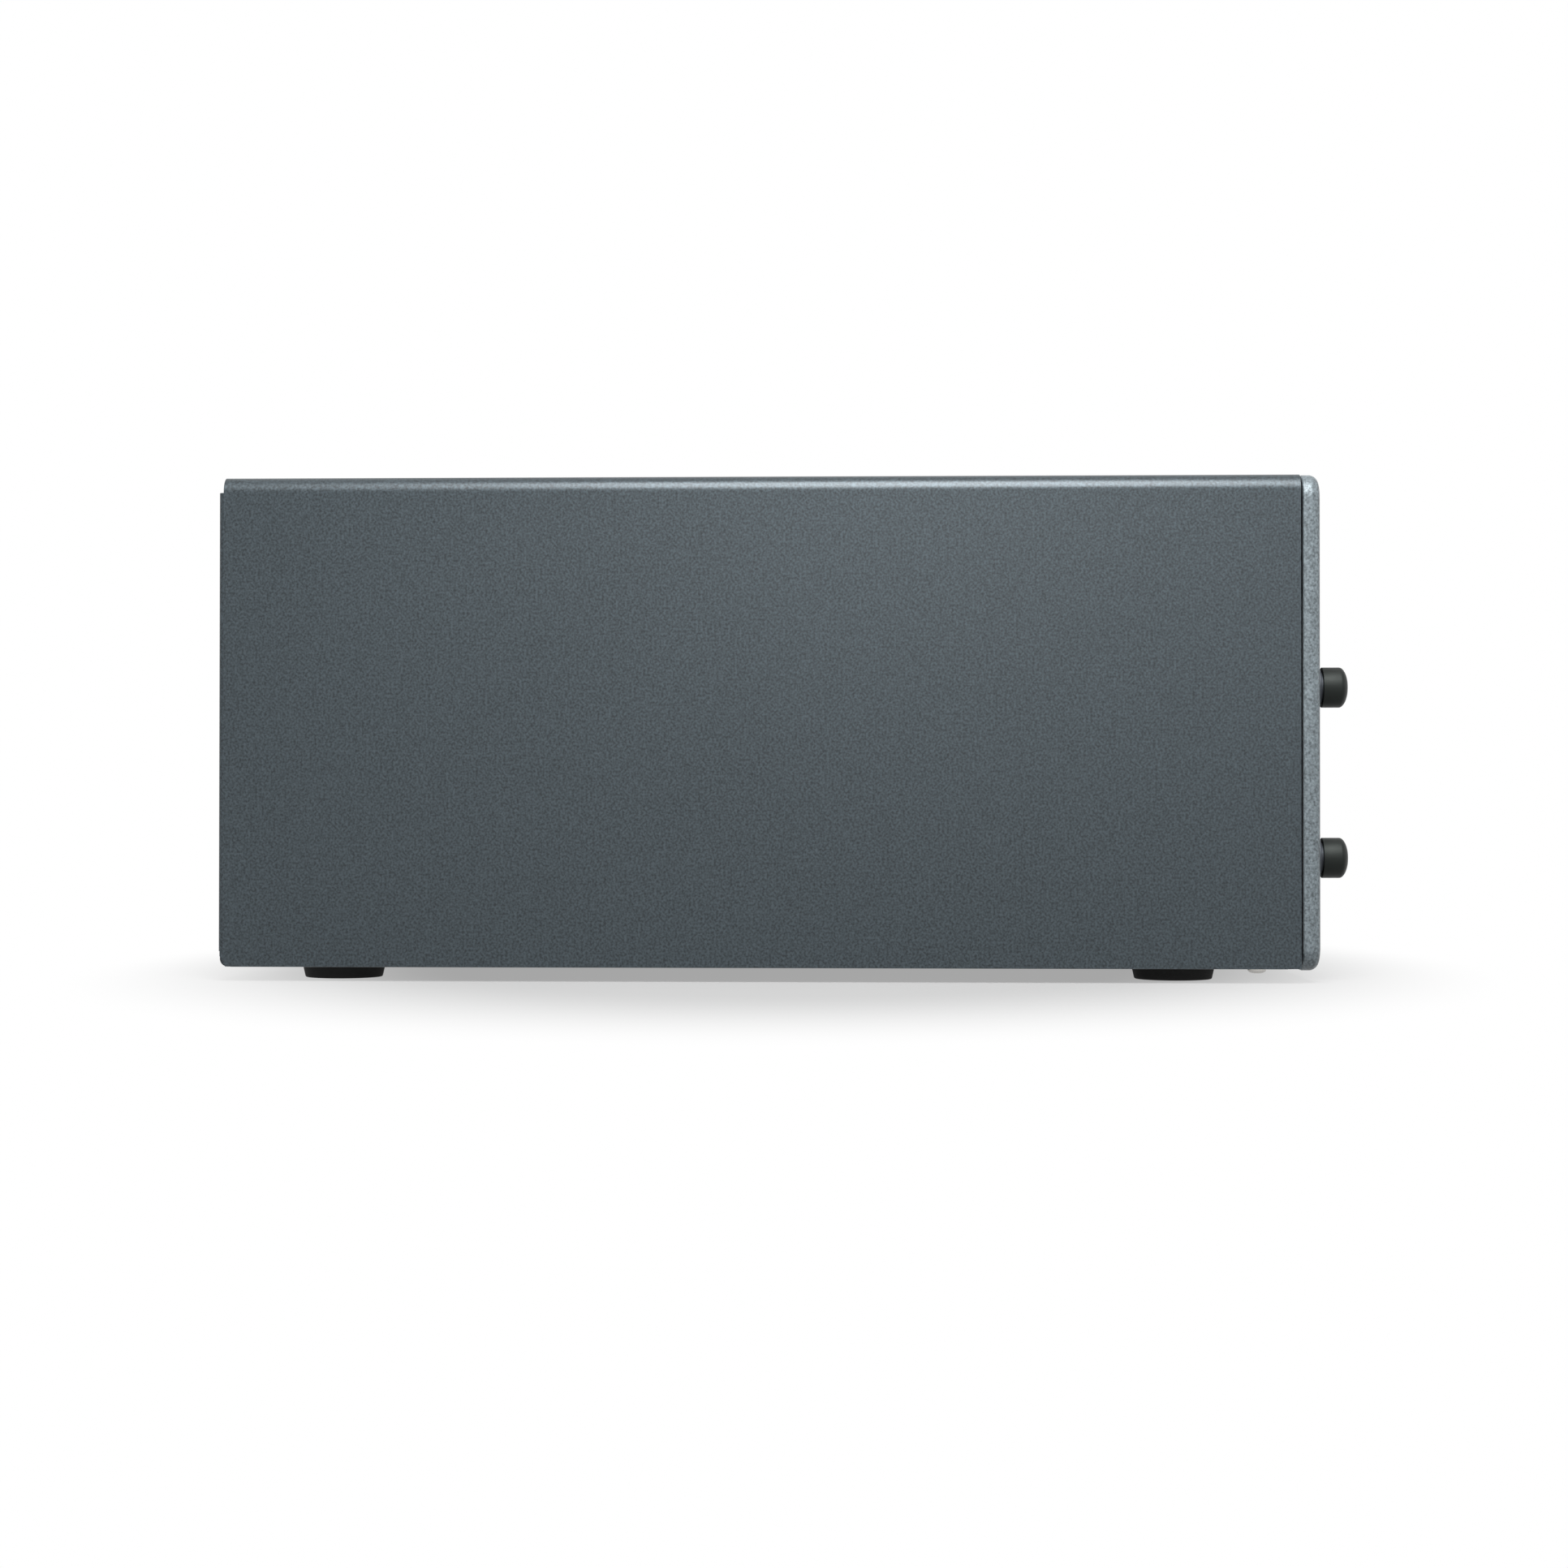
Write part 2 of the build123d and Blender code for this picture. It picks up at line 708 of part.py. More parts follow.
with BuildPart() as backplane_sockets:
    with BuildSketch(upright(socket_front_y)):
        with Locations(*socket_places):
            Rectangle(
                plug_width + 2 * (seat_gap + socket_wall),
                plug_height + 2 * (seat_gap + socket_wall),
            )
            Rectangle(plug_width + 2 * seat_gap, plug_height + 2 * seat_gap, mode=Mode.SUBTRACT)
    extrude(amount=-(socket_depth - socket_wall))
    with BuildSketch(upright(backplane_y - socket_wall)):
        with Locations(*socket_places):
            Rectangle(
                plug_width + 2 * (seat_gap + socket_wall),
                plug_height + 2 * (seat_gap + socket_wall),
            )
    extrude(amount=-socket_wall)

# Power supply: a closed metal box with air slots toward the rear panel
with BuildPart() as power_supply:
    with Locations((supply_x, supply_y, pan_top_z)):
        Box(
            supply_width,
            supply_length,
            supply_height,
            align=(Align.CENTER, Align.CENTER, Align.MIN),
        )
    with BuildSketch(upright(supply_y + supply_length / 2)):
        with Locations((supply_x, pan_top_z + supply_height / 2)):
            with GridLocations(supply_slot_pitch, 0, supply_slot_count, 1):
                Rectangle(supply_slot_width, supply_slot_height)
    extrude(amount=supply_slot_depth, mode=Mode.SUBTRACT)
    with BuildSketch(Plane.XY.offset(pan_top_z)):
        with Locations(*pan_screw_places[2:]):
            RegularPolygon(screw_shank_radius + screw_gap, screw_sides, major_radius=False)
    extrude(amount=screw_length, mode=Mode.SUBTRACT)

# Power inlet: one moulding with the socket below and the bay of the switch above
inlet_back_y = panel_back_y + inlet_flange_thickness
cavity_z = inlet_z - inlet_cavity_drop
cavity_floor_y = inlet_back_y - inlet_cavity_depth
rocker_z = inlet_z + rocker_rise
rest_tilt = radians(rocker_tilt / 2)
rocker_reach = rocker_end * cos(rest_tilt) + rocker_height / 2 * sin(rest_tilt)
rocker_y = rear_y + rocker_proud - rocker_reach
pin_places = [
    (inlet_x - inlet_pin_spacing / 2, cavity_z),
    (inlet_x, cavity_z + inlet_pin_height),
    (inlet_x + inlet_pin_spacing / 2, cavity_z),
]
with BuildPart() as power_inlet:
    with BuildSketch(upright(panel_back_y)):
        with Locations((inlet_x, inlet_z)):
            Rectangle(inlet_flange_width, inlet_flange_height)
    extrude(amount=-inlet_flange_thickness)
    with BuildSketch(upright(panel_back_y)):
        with Locations((inlet_x, inlet_z)):
            Rectangle(inlet_body_width, inlet_body_height)
    extrude(amount=inlet_body_depth)
    with BuildSketch(upright(cavity_floor_y)) as inlet_outline:
        with Locations((inlet_x, cavity_z)):
            Rectangle(inlet_cavity_width, inlet_cavity_height)
        chamfer(inlet_outline.vertices().group_by(Axis.Y)[-1], inlet_cavity_cut)
    extrude(amount=-inlet_cavity_depth, mode=Mode.SUBTRACT)
    with BuildSketch(upright(cavity_floor_y)):
        with Locations(*pin_places):
            Rectangle(inlet_pin_width, inlet_pin_height)
    extrude(amount=-inlet_pin_length)
    with BuildSketch(upright(inlet_back_y)):
        with Locations((inlet_x, rocker_z)):
            Rectangle(rocker_width + 2 * rocker_side_gap, rocker_height + 2 * rocker_end_gap)
    extrude(amount=rocker_bay_depth, mode=Mode.SUBTRACT)
    pivot_hole_reach = rocker_width / 2 + rocker_side_gap + rocker_pivot_length
    with BuildSketch(Plane.YZ.offset(inlet_x - pivot_hole_reach)):
        with Locations((rocker_y, rocker_z)):
            RegularPolygon(rocker_pivot_radius + shaft_gap, post_sides, major_radius=False)
    extrude(amount=2 * pivot_hole_reach, mode=Mode.SUBTRACT)

# Rocker of the power switch, resting with its upper end out
rocker_plane = Plane(
    origin=(inlet_x - rocker_width / 2, rocker_y, rocker_z),
    x_dir=(0, cos(rest_tilt), -sin(rest_tilt)),
    z_dir=(1, 0, 0),
)
with BuildPart() as power_rocker:
    with BuildSketch(rocker_plane):
        with BuildLine():
            Polyline(
                (-rocker_root, -rocker_height / 2),
                (rocker_end, -rocker_height / 2),
                (rocker_end - rocker_dish, 0),
                (rocker_end, rocker_height / 2),
                (-rocker_root, rocker_height / 2),
                close=True,
            )
        make_face()
    extrude(amount=rocker_width)
    pivot_reach = rocker_width / 2 + rocker_pivot_length
    with BuildSketch(Plane.YZ.offset(inlet_x - pivot_reach)):
        with Locations((rocker_y, rocker_z)):
            Circle(rocker_pivot_radius)
    extrude(amount=2 * pivot_reach)

# Fan frames with the motor base and its struts on the inner side
fan_front_y = panel_front_y - seat_gap - fan_thickness
with BuildPart() as fan_frames:
    with BuildSketch(upright(fan_front_y)):
        with Locations(*fan_places):
            Rectangle(fan_size, fan_size)
            RegularPolygon(fan_bore_radius, rim_sides, mode=Mode.SUBTRACT)
    extrude(amount=-fan_thickness)
    with BuildSketch(upright(fan_front_y)):
        with Locations(*fan_places):
            RegularPolygon(fan_hub_radius + fan_base_margin, hub_sides)
            with PolarLocations(fan_bore_radius / 2, fan_strut_count, start_angle=90):
                Rectangle(fan_bore_radius + fan_strut_overlap, fan_strut_width)
    extrude(amount=-fan_base)
    with BuildSketch(upright(fan_front_y + fan_base)):
        with Locations(*fan_places):
            Circle(fan_shaft_radius)
    extrude(amount=-fan_shaft_length)

# Fan rotors: a hub with pitched blades that stay clear of the bore of the frame
fan_rotors = {}
fan_tip_radius = fan_bore_radius * cos(pi / rim_sides) - fan_tip_gap
blade_reach = sqrt(fan_tip_radius**2 - (fan_blade_chord / 2) ** 2)
rotor_front_y = fan_front_y + fan_base + fan_face_gap
rotor_back_y = fan_front_y + fan_thickness - fan_face_gap
rotor_length = rotor_back_y - rotor_front_y
for rotor_name, rotor_place in zip(("left_fan_rotor", "right_fan_rotor"), fan_places):
    with BuildPart(upright((rotor_front_y + rotor_back_y) / 2)) as fan_rotor:
        with Locations(rotor_place):
            with PolarLocations((fan_hub_radius + blade_reach) / 2, fan_blade_count):
                Box(
                    blade_reach - fan_hub_radius + fan_blade_root,
                    fan_blade_chord,
                    fan_blade_thickness,
                    rotation=(fan_blade_pitch, 0, 0),
                )
        with BuildSketch(upright(rotor_front_y)):
            with Locations(rotor_place):
                RegularPolygon(fan_hub_radius, hub_sides)
        extrude(amount=-rotor_length)
        with BuildSketch(upright(rotor_front_y)):
            with Locations(rotor_place):
                RegularPolygon(fan_shaft_radius + shaft_gap, post_sides, major_radius=False)
        extrude(amount=-fan_shaft_length, mode=Mode.SUBTRACT)
    fan_rotors[rotor_name] = fan_rotor

# Interface board on hexagonal posts above the power supply
supply_top_z = pan_top_z + supply_height
interface_y = panel_front_y - seat_gap - interface_depth / 2
with BuildPart() as interface_board:
    with BuildSketch(Plane.XY.offset(interface_z)):
        with Locations((interface_x, interface_y)):
            Rectangle(interface_width, interface_depth)
    extrude(amount=board_thickness)
    with BuildSketch(Plane.XY.offset(supply_top_z + seat_gap)):
        with Locations((interface_x, interface_y)):
            with GridLocations(
                interface_width - 2 * interface_post_inset,
                interface_depth - 2 * interface_post_inset,
                2,
                2,
            ):
                RegularPolygon(interface_post, screw_sides)
    extrude(amount=interface_z - supply_top_z - seat_gap)

with BuildPart() as interface_ports:
    with BuildSketch(upright(panel_back_y)):
        with Locations(*port_places):
            with Locations((0, port_centre_rise)):
                Rectangle(port_width, port_height)
                Rectangle(
                    port_width - 2 * port_wall,
                    port_height - 2 * port_wall,
                    mode=Mode.SUBTRACT,
                )
    extrude(amount=port_depth)
    with BuildSketch(upright(panel_back_y - port_depth)):
        with Locations(*port_places):
            with Locations((0, port_centre_rise)):
                Rectangle(port_width, port_height)
    extrude(amount=port_wall)
    with BuildSketch(upright(panel_back_y - port_depth)):
        with Locations(*port_places):
            with Locations((0, port_centre_rise)):
                Rectangle(port_width - 2 * (port_wall + port_tongue_gap), port_tongue)
    extrude(amount=-(port_depth - port_tongue_gap))

# Screws: two through the pan into the cage, two into the power supply, four at the back
with BuildPart() as case_screws:
    with BuildSketch(Plane.XY.offset(base_z)):
        with Locations(*pan_screw_places):
            RegularPolygon(screw_head_radius, screw_sides)
    extrude(amount=-screw_head_height)
    with BuildSketch(Plane.XY.offset(base_z)):
        with Locations(*pan_screw_places):
            RegularPolygon(screw_shank_radius, screw_sides)
    extrude(amount=screw_length)
    with BuildSketch(upright(rear_y)):
        with Locations(*flange_screw_places):
            RegularPolygon(screw_head_radius, screw_sides)
    extrude(amount=-screw_head_height)
    with BuildSketch(upright(rear_y)):
        with Locations(*flange_screw_places):
            RegularPolygon(screw_shank_radius, screw_sides)
    extrude(amount=screw_length)

# Sled tray: folded sheet under the drive, with flanges that ride in the rails
tray_front_y = front_y + sled_front_thickness + seat_gap
tray_rear_y = drive_rear_y + seat_gap + tray_sheet
with BuildPart() as sled_tray:
    with BuildSketch(upright(tray_front_y)):
        with BuildLine():
            Polyline(
                (-tray_flange_reach, tray_flange_z),
                (-tray_half_width, tray_flange_z),
                (-tray_half_width, tray_floor_z),
                (tray_half_width, tray_floor_z),
                (tray_half_width, tray_flange_z),
                (tray_flange_reach, tray_flange_z),
            )
            offset(amount=tray_sheet, side=Side.LEFT, kind=Kind.INTERSECTION)
        make_face()
    extrude(amount=-(tray_rear_y - tray_front_y))
    # Ears at the front hold the front plate
    with BuildSketch(upright(tray_front_y)):
        for side in (-1, 1):
            with Locations((side * (tray_half_width + tray_ear / 2 - tray_sheet), tray_floor_z)):
                Rectangle(tray_ear, tray_rise + tray_sheet, align=(Align.CENTER, Align.MIN))
    extrude(amount=-tray_sheet)
    # Stops behind the drive
    with BuildSketch(upright(drive_rear_y + seat_gap)):
        for side in (-1, 1):
            with Locations((side * (drive_width / 2 - tray_stop_inset), tray_floor_z)):
                Rectangle(tray_stop_width, tray_stop_rise, align=(Align.CENTER, Align.MIN))
    extrude(amount=-tray_sheet)
    with BuildSketch(Plane.XY.offset(tray_floor_z)):
        with Locations((0, (tray_front_y + tray_rear_y) / 2)):
            with GridLocations(0, tray_window_pitch, 1, 2):
                Rectangle(drive_width - 2 * tray_window_margin, tray_window_length)
    extrude(amount=tray_sheet, mode=Mode.SUBTRACT)

# Front plate of the sled
thumb_places = [(side * thumb_offset, sled_z) for side in (-1, 1)]
with BuildPart() as sled_front:
    with BuildSketch(upright(front_y)):
        with Locations((0, sled_z)):
            Rectangle(sled_window_width, sled_window_height)
            Rectangle(drive_width + 2 * seat_gap, drive_height + 2 * seat_gap, mode=Mode.SUBTRACT)
        with Locations(*thumb_places):
            RegularPolygon(ferrule_shank_radius + press_gap, post_sides, mode=Mode.SUBTRACT)
    extrude(amount=-sled_front_thickness)

# Ferrules of the thumbscrews, pressed into the front plate
with BuildPart() as thumbscrew_ferrules:
    with BuildSketch(upright(front_y)):
        with Locations(*thumb_places):
            RegularPolygon(ferrule_radius, knob_sides)
    extrude(amount=ferrule_height)
    with BuildSketch(upright(front_y)):
        with Locations(*thumb_places):
            RegularPolygon(ferrule_shank_radius, post_sides)
    extrude(amount=-(sled_front_thickness + ferrule_flare))
    with BuildSketch(upright(front_y - ferrule_height)):
        with Locations(*thumb_places):
            RegularPolygon(thumb_shaft_radius + screw_gap, post_sides, major_radius=False)
    extrude(
        amount=-(ferrule_height + sled_front_thickness + ferrule_flare),
        mode=Mode.SUBTRACT,
    )

# Thumbscrews and the clips that keep them in their ferrules
clip_front_y = front_y - ferrule_height - clip_gap - clip_thickness
knob_back_y = clip_front_y - clip_gap
knob_length = knob_back_y - (front_y - knob_projection)
thumb_tip_y = cage_front_y + thread_engagement
thumbscrews = {}
thumb_clips = {}
for side_name, (thumb_x, thumb_z) in zip(("left", "right"), thumb_places):
    with BuildPart() as thumbscrew:
        with BuildSketch(upright(knob_back_y)):
            with Locations((thumb_x, thumb_z)):
                RegularPolygon(knob_radius, knob_sides)
        extrude(amount=knob_length)
        chamfer(thumbscrew.edges().group_by(Axis.Y)[0], knob_chamfer)
        with BuildSketch(upright(knob_back_y)):
            with Locations((thumb_x, thumb_z)):
                Circle(thumb_shaft_radius)
        extrude(amount=-(thumb_tip_y - knob_back_y))
    thumbscrews[side_name] = thumbscrew
    with BuildPart() as thumb_clip:
        with BuildSketch(upright(clip_front_y)):
            with Locations((thumb_x, thumb_z)):
                RegularPolygon(clip_radius, post_sides)
                RegularPolygon(
                    thumb_shaft_radius + screw_gap,
                    post_sides,
                    major_radius=False,
                    mode=Mode.SUBTRACT,
                )
        extrude(amount=-clip_thickness)
    thumb_clips[side_name] = thumb_clip

# Drive base: a cast tub, open above, with the seats of the mechanism
lid_screw_places = [
    (side * (drive_width / 2 - base_wall - lid_boss / 2), y)
    for side in (-1, 1)
    for y in (
        drive_front_y + base_wall + lid_boss / 2,
        drive_rear_y - base_wall - lid_boss / 2,
    )
]
hub_y = drive_front_y + hub_setback
reel_y = drive_front_y + reel_setback
guide_y = drive_front_y + guide_setback
carriage_y = drive_front_y + carriage_setback
cartridge_low_z = slot_bottom_z + cartridge_lift
carriage_floor_z = cartridge_low_z - seat_gap - carriage_sheet
reel_bottom_z = slot_bottom_z + reel_rise
hub_low_z = base_floor_z + hub_boss_height + seat_gap
with BuildPart() as drive_base:
    with BuildSketch(Plane.XY.offset(drive_bottom_z)):
        with Locations((0, drive_front_y)):
            Rectangle(drive_width, drive_depth, align=(Align.CENTER, Align.MIN))
    extrude(amount=lid_bottom_z - drive_bottom_z)
    with BuildSketch(Plane.XY.offset(base_floor_z)):
        with Locations((0, drive_front_y + base_wall)):
            Rectangle(
                drive_width - 2 * base_wall,
                drive_depth - 2 * base_wall,
                align=(Align.CENTER, Align.MIN),
            )
        with Locations(*lid_screw_places):
            Rectangle(lid_boss, lid_boss, mode=Mode.SUBTRACT)
    extrude(amount=lid_bottom_z - base_floor_z, mode=Mode.SUBTRACT)
    # The cartridge enters through the front wall and the plug leaves through the back wall
    with BuildSketch(upright(drive_front_y)):
        with Locations((slot_centre_x, slot_bottom_z)):
            Rectangle(slot_width, lid_bottom_z - slot_bottom_z, align=(Align.CENTER, Align.MIN))
    extrude(amount=-base_wall, mode=Mode.SUBTRACT)
    with BuildSketch(upright(drive_rear_y - base_wall)):
        with Locations((plug_x, plug_z)):
            Rectangle(plug_width + 2 * running_gap, plug_height + 2 * running_gap)
    extrude(amount=-base_wall, mode=Mode.SUBTRACT)
    # Ribs that carry the cartridge carriage
    with BuildSketch(Plane.XY.offset(base_floor_z)):
        with Locations((slot_centre_x, carriage_y)):
            for side in (-1, 1):
                with Locations((side * (slot_width / 2 - carriage_rib_inset), 0)):
                    Rectangle(
                        carriage_rib_width,
                        carriage_length + carriage_travel,
                        align=(Align.CENTER, Align.MIN),
                    )
    extrude(amount=carriage_floor_z - running_gap - base_floor_z)
    # Bearing bosses of the supply hub and the take-up reel
    with BuildSketch(Plane.XY.offset(base_floor_z)):
        with Locations((slot_centre_x, hub_y)):
            RegularPolygon(hub_boss_radius, hub_sides)
    extrude(amount=hub_boss_height)
    with BuildSketch(Plane.XY.offset(base_floor_z)):
        with Locations((reel_x, reel_y)):
            RegularPolygon(reel_boss_radius, hub_sides)
    extrude(amount=reel_bottom_z - seat_gap - base_floor_z)
    with BuildSketch(Plane.XY.offset(drive_bottom_z)):
        with Locations((slot_centre_x, hub_y)):
            RegularPolygon(hub_spindle_radius + shaft_gap, hub_sides, major_radius=False)
        with Locations((reel_x, reel_y)):
            RegularPolygon(reel_spindle_radius + shaft_gap, hub_sides, major_radius=False)
    extrude(amount=lid_bottom_z - drive_bottom_z, mode=Mode.SUBTRACT)
    with BuildSketch(Plane.XY.offset(lid_bottom_z)):
        with Locations(*lid_screw_places):
            RegularPolygon(lid_screw_radius + screw_gap, screw_sides, major_radius=False)
    extrude(amount=-lid_screw_length, mode=Mode.SUBTRACT)

# Drive lid and the screws that hold it
with BuildPart() as drive_lid:
    with BuildSketch(Plane.XY.offset(lid_bottom_z)):
        with Locations((0, drive_front_y)):
            Rectangle(drive_width, drive_depth, align=(Align.CENTER, Align.MIN))
        with Locations(*lid_screw_places):
            RegularPolygon(
                lid_screw_radius + screw_gap,
                screw_sides,
                major_radius=False,
                mode=Mode.SUBTRACT,
            )
    extrude(amount=lid_sheet)

with BuildPart() as drive_screws:
    with BuildSketch(Plane.XY.offset(drive_top_z)):
        with Locations(*lid_screw_places):
            RegularPolygon(lid_screw_head_radius, screw_sides)
    extrude(amount=lid_screw_head_height)
    with BuildSketch(Plane.XY.offset(drive_top_z)):
        with Locations(*lid_screw_places):
            RegularPolygon(lid_screw_radius, screw_sides)
    extrude(amount=-lid_screw_length)

# Drive bezel with the cartridge slot, the display window and the eject button's pocket
door_axis_z = slot_top_z - door_axis_drop
door_axis_y = front_y + door_axis_setback
door_half_width = slot_width / 2 - door_gap
button_back_y = front_y + button_face_depth + seat_gap + button_lip_depth
button_z = drive_bottom_z + button_rise
with BuildPart() as drive_bezel:
    with BuildSketch(upright(front_y)):
        with Locations((0, sled_z)):
            Rectangle(drive_width, drive_height)
        with Locations((slot_centre_x, slot_bottom_z)):
            Rectangle(
                slot_width,
                slot_height,
                align=(Align.CENTER, Align.MIN),
                mode=Mode.SUBTRACT,
            )
        with Locations((button_x, button_z)):
            Rectangle(
                button_width + 2 * button_gap,
                button_height + 2 * button_gap,
                mode=Mode.SUBTRACT,
            )
        with Locations((bezel_slot_inset - drive_width / 2, slot_bottom_z - bezel_slot_drop)):
            with GridLocations(bezel_slot_pitch, 0, bezel_slot_count, 1):
                Rectangle(bezel_slot_width, bezel_slot_height, mode=Mode.SUBTRACT)
    extrude(amount=-drive_bezel_depth)
    with BuildSketch(upright(front_y)):
        with Locations((display_x, drive_top_z - display_drop)):
            Rectangle(display_width, display_height)
    extrude(amount=-display_depth, mode=Mode.SUBTRACT)
    # Pocket behind the button for its lip
    with BuildSketch(upright(front_y + button_face_depth)):
        with Locations((button_x, button_z)):
            Rectangle(
                button_width + 2 * (button_lip + button_gap),
                button_height + 2 * (button_lip + button_gap),
            )
    extrude(amount=-(drive_bezel_depth - button_face_depth), mode=Mode.SUBTRACT)
    pin_hole_reach = door_half_width + door_pin_length + shaft_gap
    with BuildSketch(Plane.YZ.offset(slot_centre_x - pin_hole_reach)):
        with Locations((door_axis_y, door_axis_z)):
            RegularPolygon(door_pin_radius + shaft_gap, post_sides, major_radius=False)
    extrude(amount=2 * pin_hole_reach, mode=Mode.SUBTRACT)

# Door of the cartridge slot, hung from two pins at its top edge
with BuildPart() as cartridge_door:
    with BuildSketch(Plane.YZ.offset(slot_centre_x - door_half_width)):
        with Locations((door_axis_y, door_axis_z)):
            RegularPolygon(door_thickness / 2, post_sides, major_radius=False, rotation=180 / post_sides)
            Rectangle(
                door_thickness,
                door_axis_z - slot_bottom_z - door_gap,
                align=(Align.CENTER, Align.MAX),
            )
    extrude(amount=2 * door_half_width)
    pin_reach = door_half_width + door_pin_length
    with BuildSketch(Plane.YZ.offset(slot_centre_x - pin_reach)):
        with Locations((door_axis_y, door_axis_z)):
            Circle(door_pin_radius)
    extrude(amount=2 * pin_reach)

# Eject button: a cap with a lip that keeps it behind the bezel
with BuildPart() as eject_button:
    with BuildSketch(upright(front_y - button_proud)):
        with Locations((button_x, button_z)):
            Rectangle(button_width, button_height)
    extrude(amount=-(button_back_y - front_y + button_proud))
    with BuildSketch(upright(front_y + button_face_depth + seat_gap)):
        with Locations((button_x, button_z)):
            Rectangle(button_width + 2 * button_lip, button_height + 2 * button_lip)
    extrude(amount=-button_lip_depth)

# Supply hub: a spindle and a plate with a ring of clutch teeth
hub_teeth_z = carriage_floor_z - running_gap - hub_tooth_height
with BuildPart() as supply_hub:
    with BuildSketch(Plane.XY.offset(hub_low_z)):
        with Locations((slot_centre_x, hub_y)):
            RegularPolygon(hub_radius, rim_sides)
    extrude(amount=hub_plate)
    with BuildSketch(Plane.XY.offset(hub_low_z + hub_plate)):
        with Locations((slot_centre_x, hub_y)):
            RegularPolygon(hub_tooth_radius + hub_ring / 2, hub_sides)
            RegularPolygon(hub_tooth_radius - hub_ring / 2, hub_sides, mode=Mode.SUBTRACT)
    extrude(amount=hub_teeth_z - hub_low_z - hub_plate)
    with Locations((slot_centre_x, hub_y, hub_teeth_z)):
        with PolarLocations(hub_tooth_radius, hub_tooth_count):
            Box(
                hub_ring - hub_tooth_inset,
                hub_tooth_width,
                hub_tooth_height,
                align=(Align.CENTER, Align.CENTER, Align.MIN),
            )
    with BuildSketch(Plane.XY.offset(hub_low_z)):
        with Locations((slot_centre_x, hub_y)):
            Circle(hub_spindle_radius)
    extrude(amount=-(hub_low_z - drive_bottom_z - seat_gap))

# Take-up reel: two flanges on a hub, on its own spindle
with BuildPart() as takeup_reel:
    for flange_z in (reel_bottom_z, reel_bottom_z + reel_flange + reel_gap):
        with BuildSketch(Plane.XY.offset(flange_z)):
            with Locations((reel_x, reel_y)):
                RegularPolygon(reel_radius, rim_sides)
        extrude(amount=reel_flange)
    with BuildSketch(Plane.XY.offset(reel_bottom_z + reel_flange)):
        with Locations((reel_x, reel_y)):
            RegularPolygon(reel_hub_radius, hub_sides)
    extrude(amount=reel_gap)
    with BuildSketch(Plane.XY.offset(reel_bottom_z)):
        with Locations((reel_x, reel_y)):
            Circle(reel_spindle_radius)
    extrude(amount=-(reel_bottom_z - drive_bottom_z - seat_gap))

# Tape guides: a deck plate with flanged rollers and the posts of the head
roller_low_z = reel_bottom_z
roller_height = 2 * reel_flange + reel_gap
post_top_z = roller_low_z + roller_height + head_travel + guide_post_extra
roller_spots = [
    (x, guide_y + side * spread / 2)
    for x, spread in (
        (guide_right_x - inner_roller_inset, inner_roller_spread),
        (guide_left_x + outer_roller_inset, outer_roller_spread),
    )
    for side in (-1, 1)
]
head_x = guide_left_x + head_inset
post_spots = [(head_x, guide_y + side * guide_post_spacing / 2) for side in (-1, 1)]
with BuildPart() as tape_guides:
    with BuildSketch(Plane.XY.offset(base_floor_z)):
        with Locations(((guide_left_x + guide_right_x) / 2, guide_y)):
            Rectangle(guide_right_x - guide_left_x, guide_plate_depth)
    extrude(amount=guide_plate)
    with BuildSketch(Plane.XY.offset(base_floor_z + guide_plate)):
        with Locations(*roller_spots):
            RegularPolygon(guide_post_radius, screw_sides)
    extrude(amount=roller_low_z - base_floor_z - guide_plate)
    with BuildSketch(Plane.XY.offset(base_floor_z + guide_plate)):
        with Locations(*post_spots):
            RegularPolygon(guide_post_radius, post_sides)
    extrude(amount=post_top_z - base_floor_z - guide_plate)
    with BuildSketch(Plane.XY.offset(roller_low_z + roller_flange)):
        with Locations(*roller_spots):
            RegularPolygon(roller_radius, roller_sides)
    extrude(amount=roller_height - roller_flange)
    with BuildSketch(Plane.XY.offset(roller_low_z)):
        with Locations(*roller_spots):
            RegularPolygon(roller_flange_radius, roller_sides)
    extrude(amount=roller_flange)

# Head carriage: it rides up and down on two posts
head_low_z = roller_low_z + (roller_height - head_height) / 2
with BuildPart() as head_carriage:
    with BuildSketch(Plane.XY.offset(head_low_z)):
        with Locations((head_x, guide_y)):
            Rectangle(head_depth, head_width)
        with Locations((head_x - head_depth / 2, guide_y)):
            Rectangle(head_nose_depth, head_nose_width, align=(Align.MAX, Align.CENTER))
        with Locations(*post_spots):
            RegularPolygon(
                guide_post_radius + shaft_gap,
                post_sides,
                mode=Mode.SUBTRACT,
            )
    extrude(amount=head_height)

# Cartridge carriage: a folded tray, open below round the supply hub
carriage_half_width = slot_width / 2 + carriage_sheet
with BuildPart() as cartridge_carriage:
    with BuildSketch(upright(carriage_y)):
        with BuildLine():
            Polyline(
                (slot_centre_x - carriage_half_width, cartridge_low_z + cartridge_height),
                (slot_centre_x - carriage_half_width, carriage_floor_z),
                (slot_centre_x + carriage_half_width, carriage_floor_z),
                (slot_centre_x + carriage_half_width, cartridge_low_z + cartridge_height),
            )
            offset(amount=carriage_sheet, side=Side.LEFT, kind=Kind.INTERSECTION)
        make_face()
    extrude(amount=-carriage_length)
    with BuildSketch(Plane.XY.offset(carriage_floor_z)):
        with Locations((slot_centre_x, hub_y - carriage_travel / 2)):
            Rectangle(2 * hub_opening_radius, 2 * hub_opening_radius + carriage_travel)
    extrude(amount=carriage_sheet, mode=Mode.SUBTRACT)

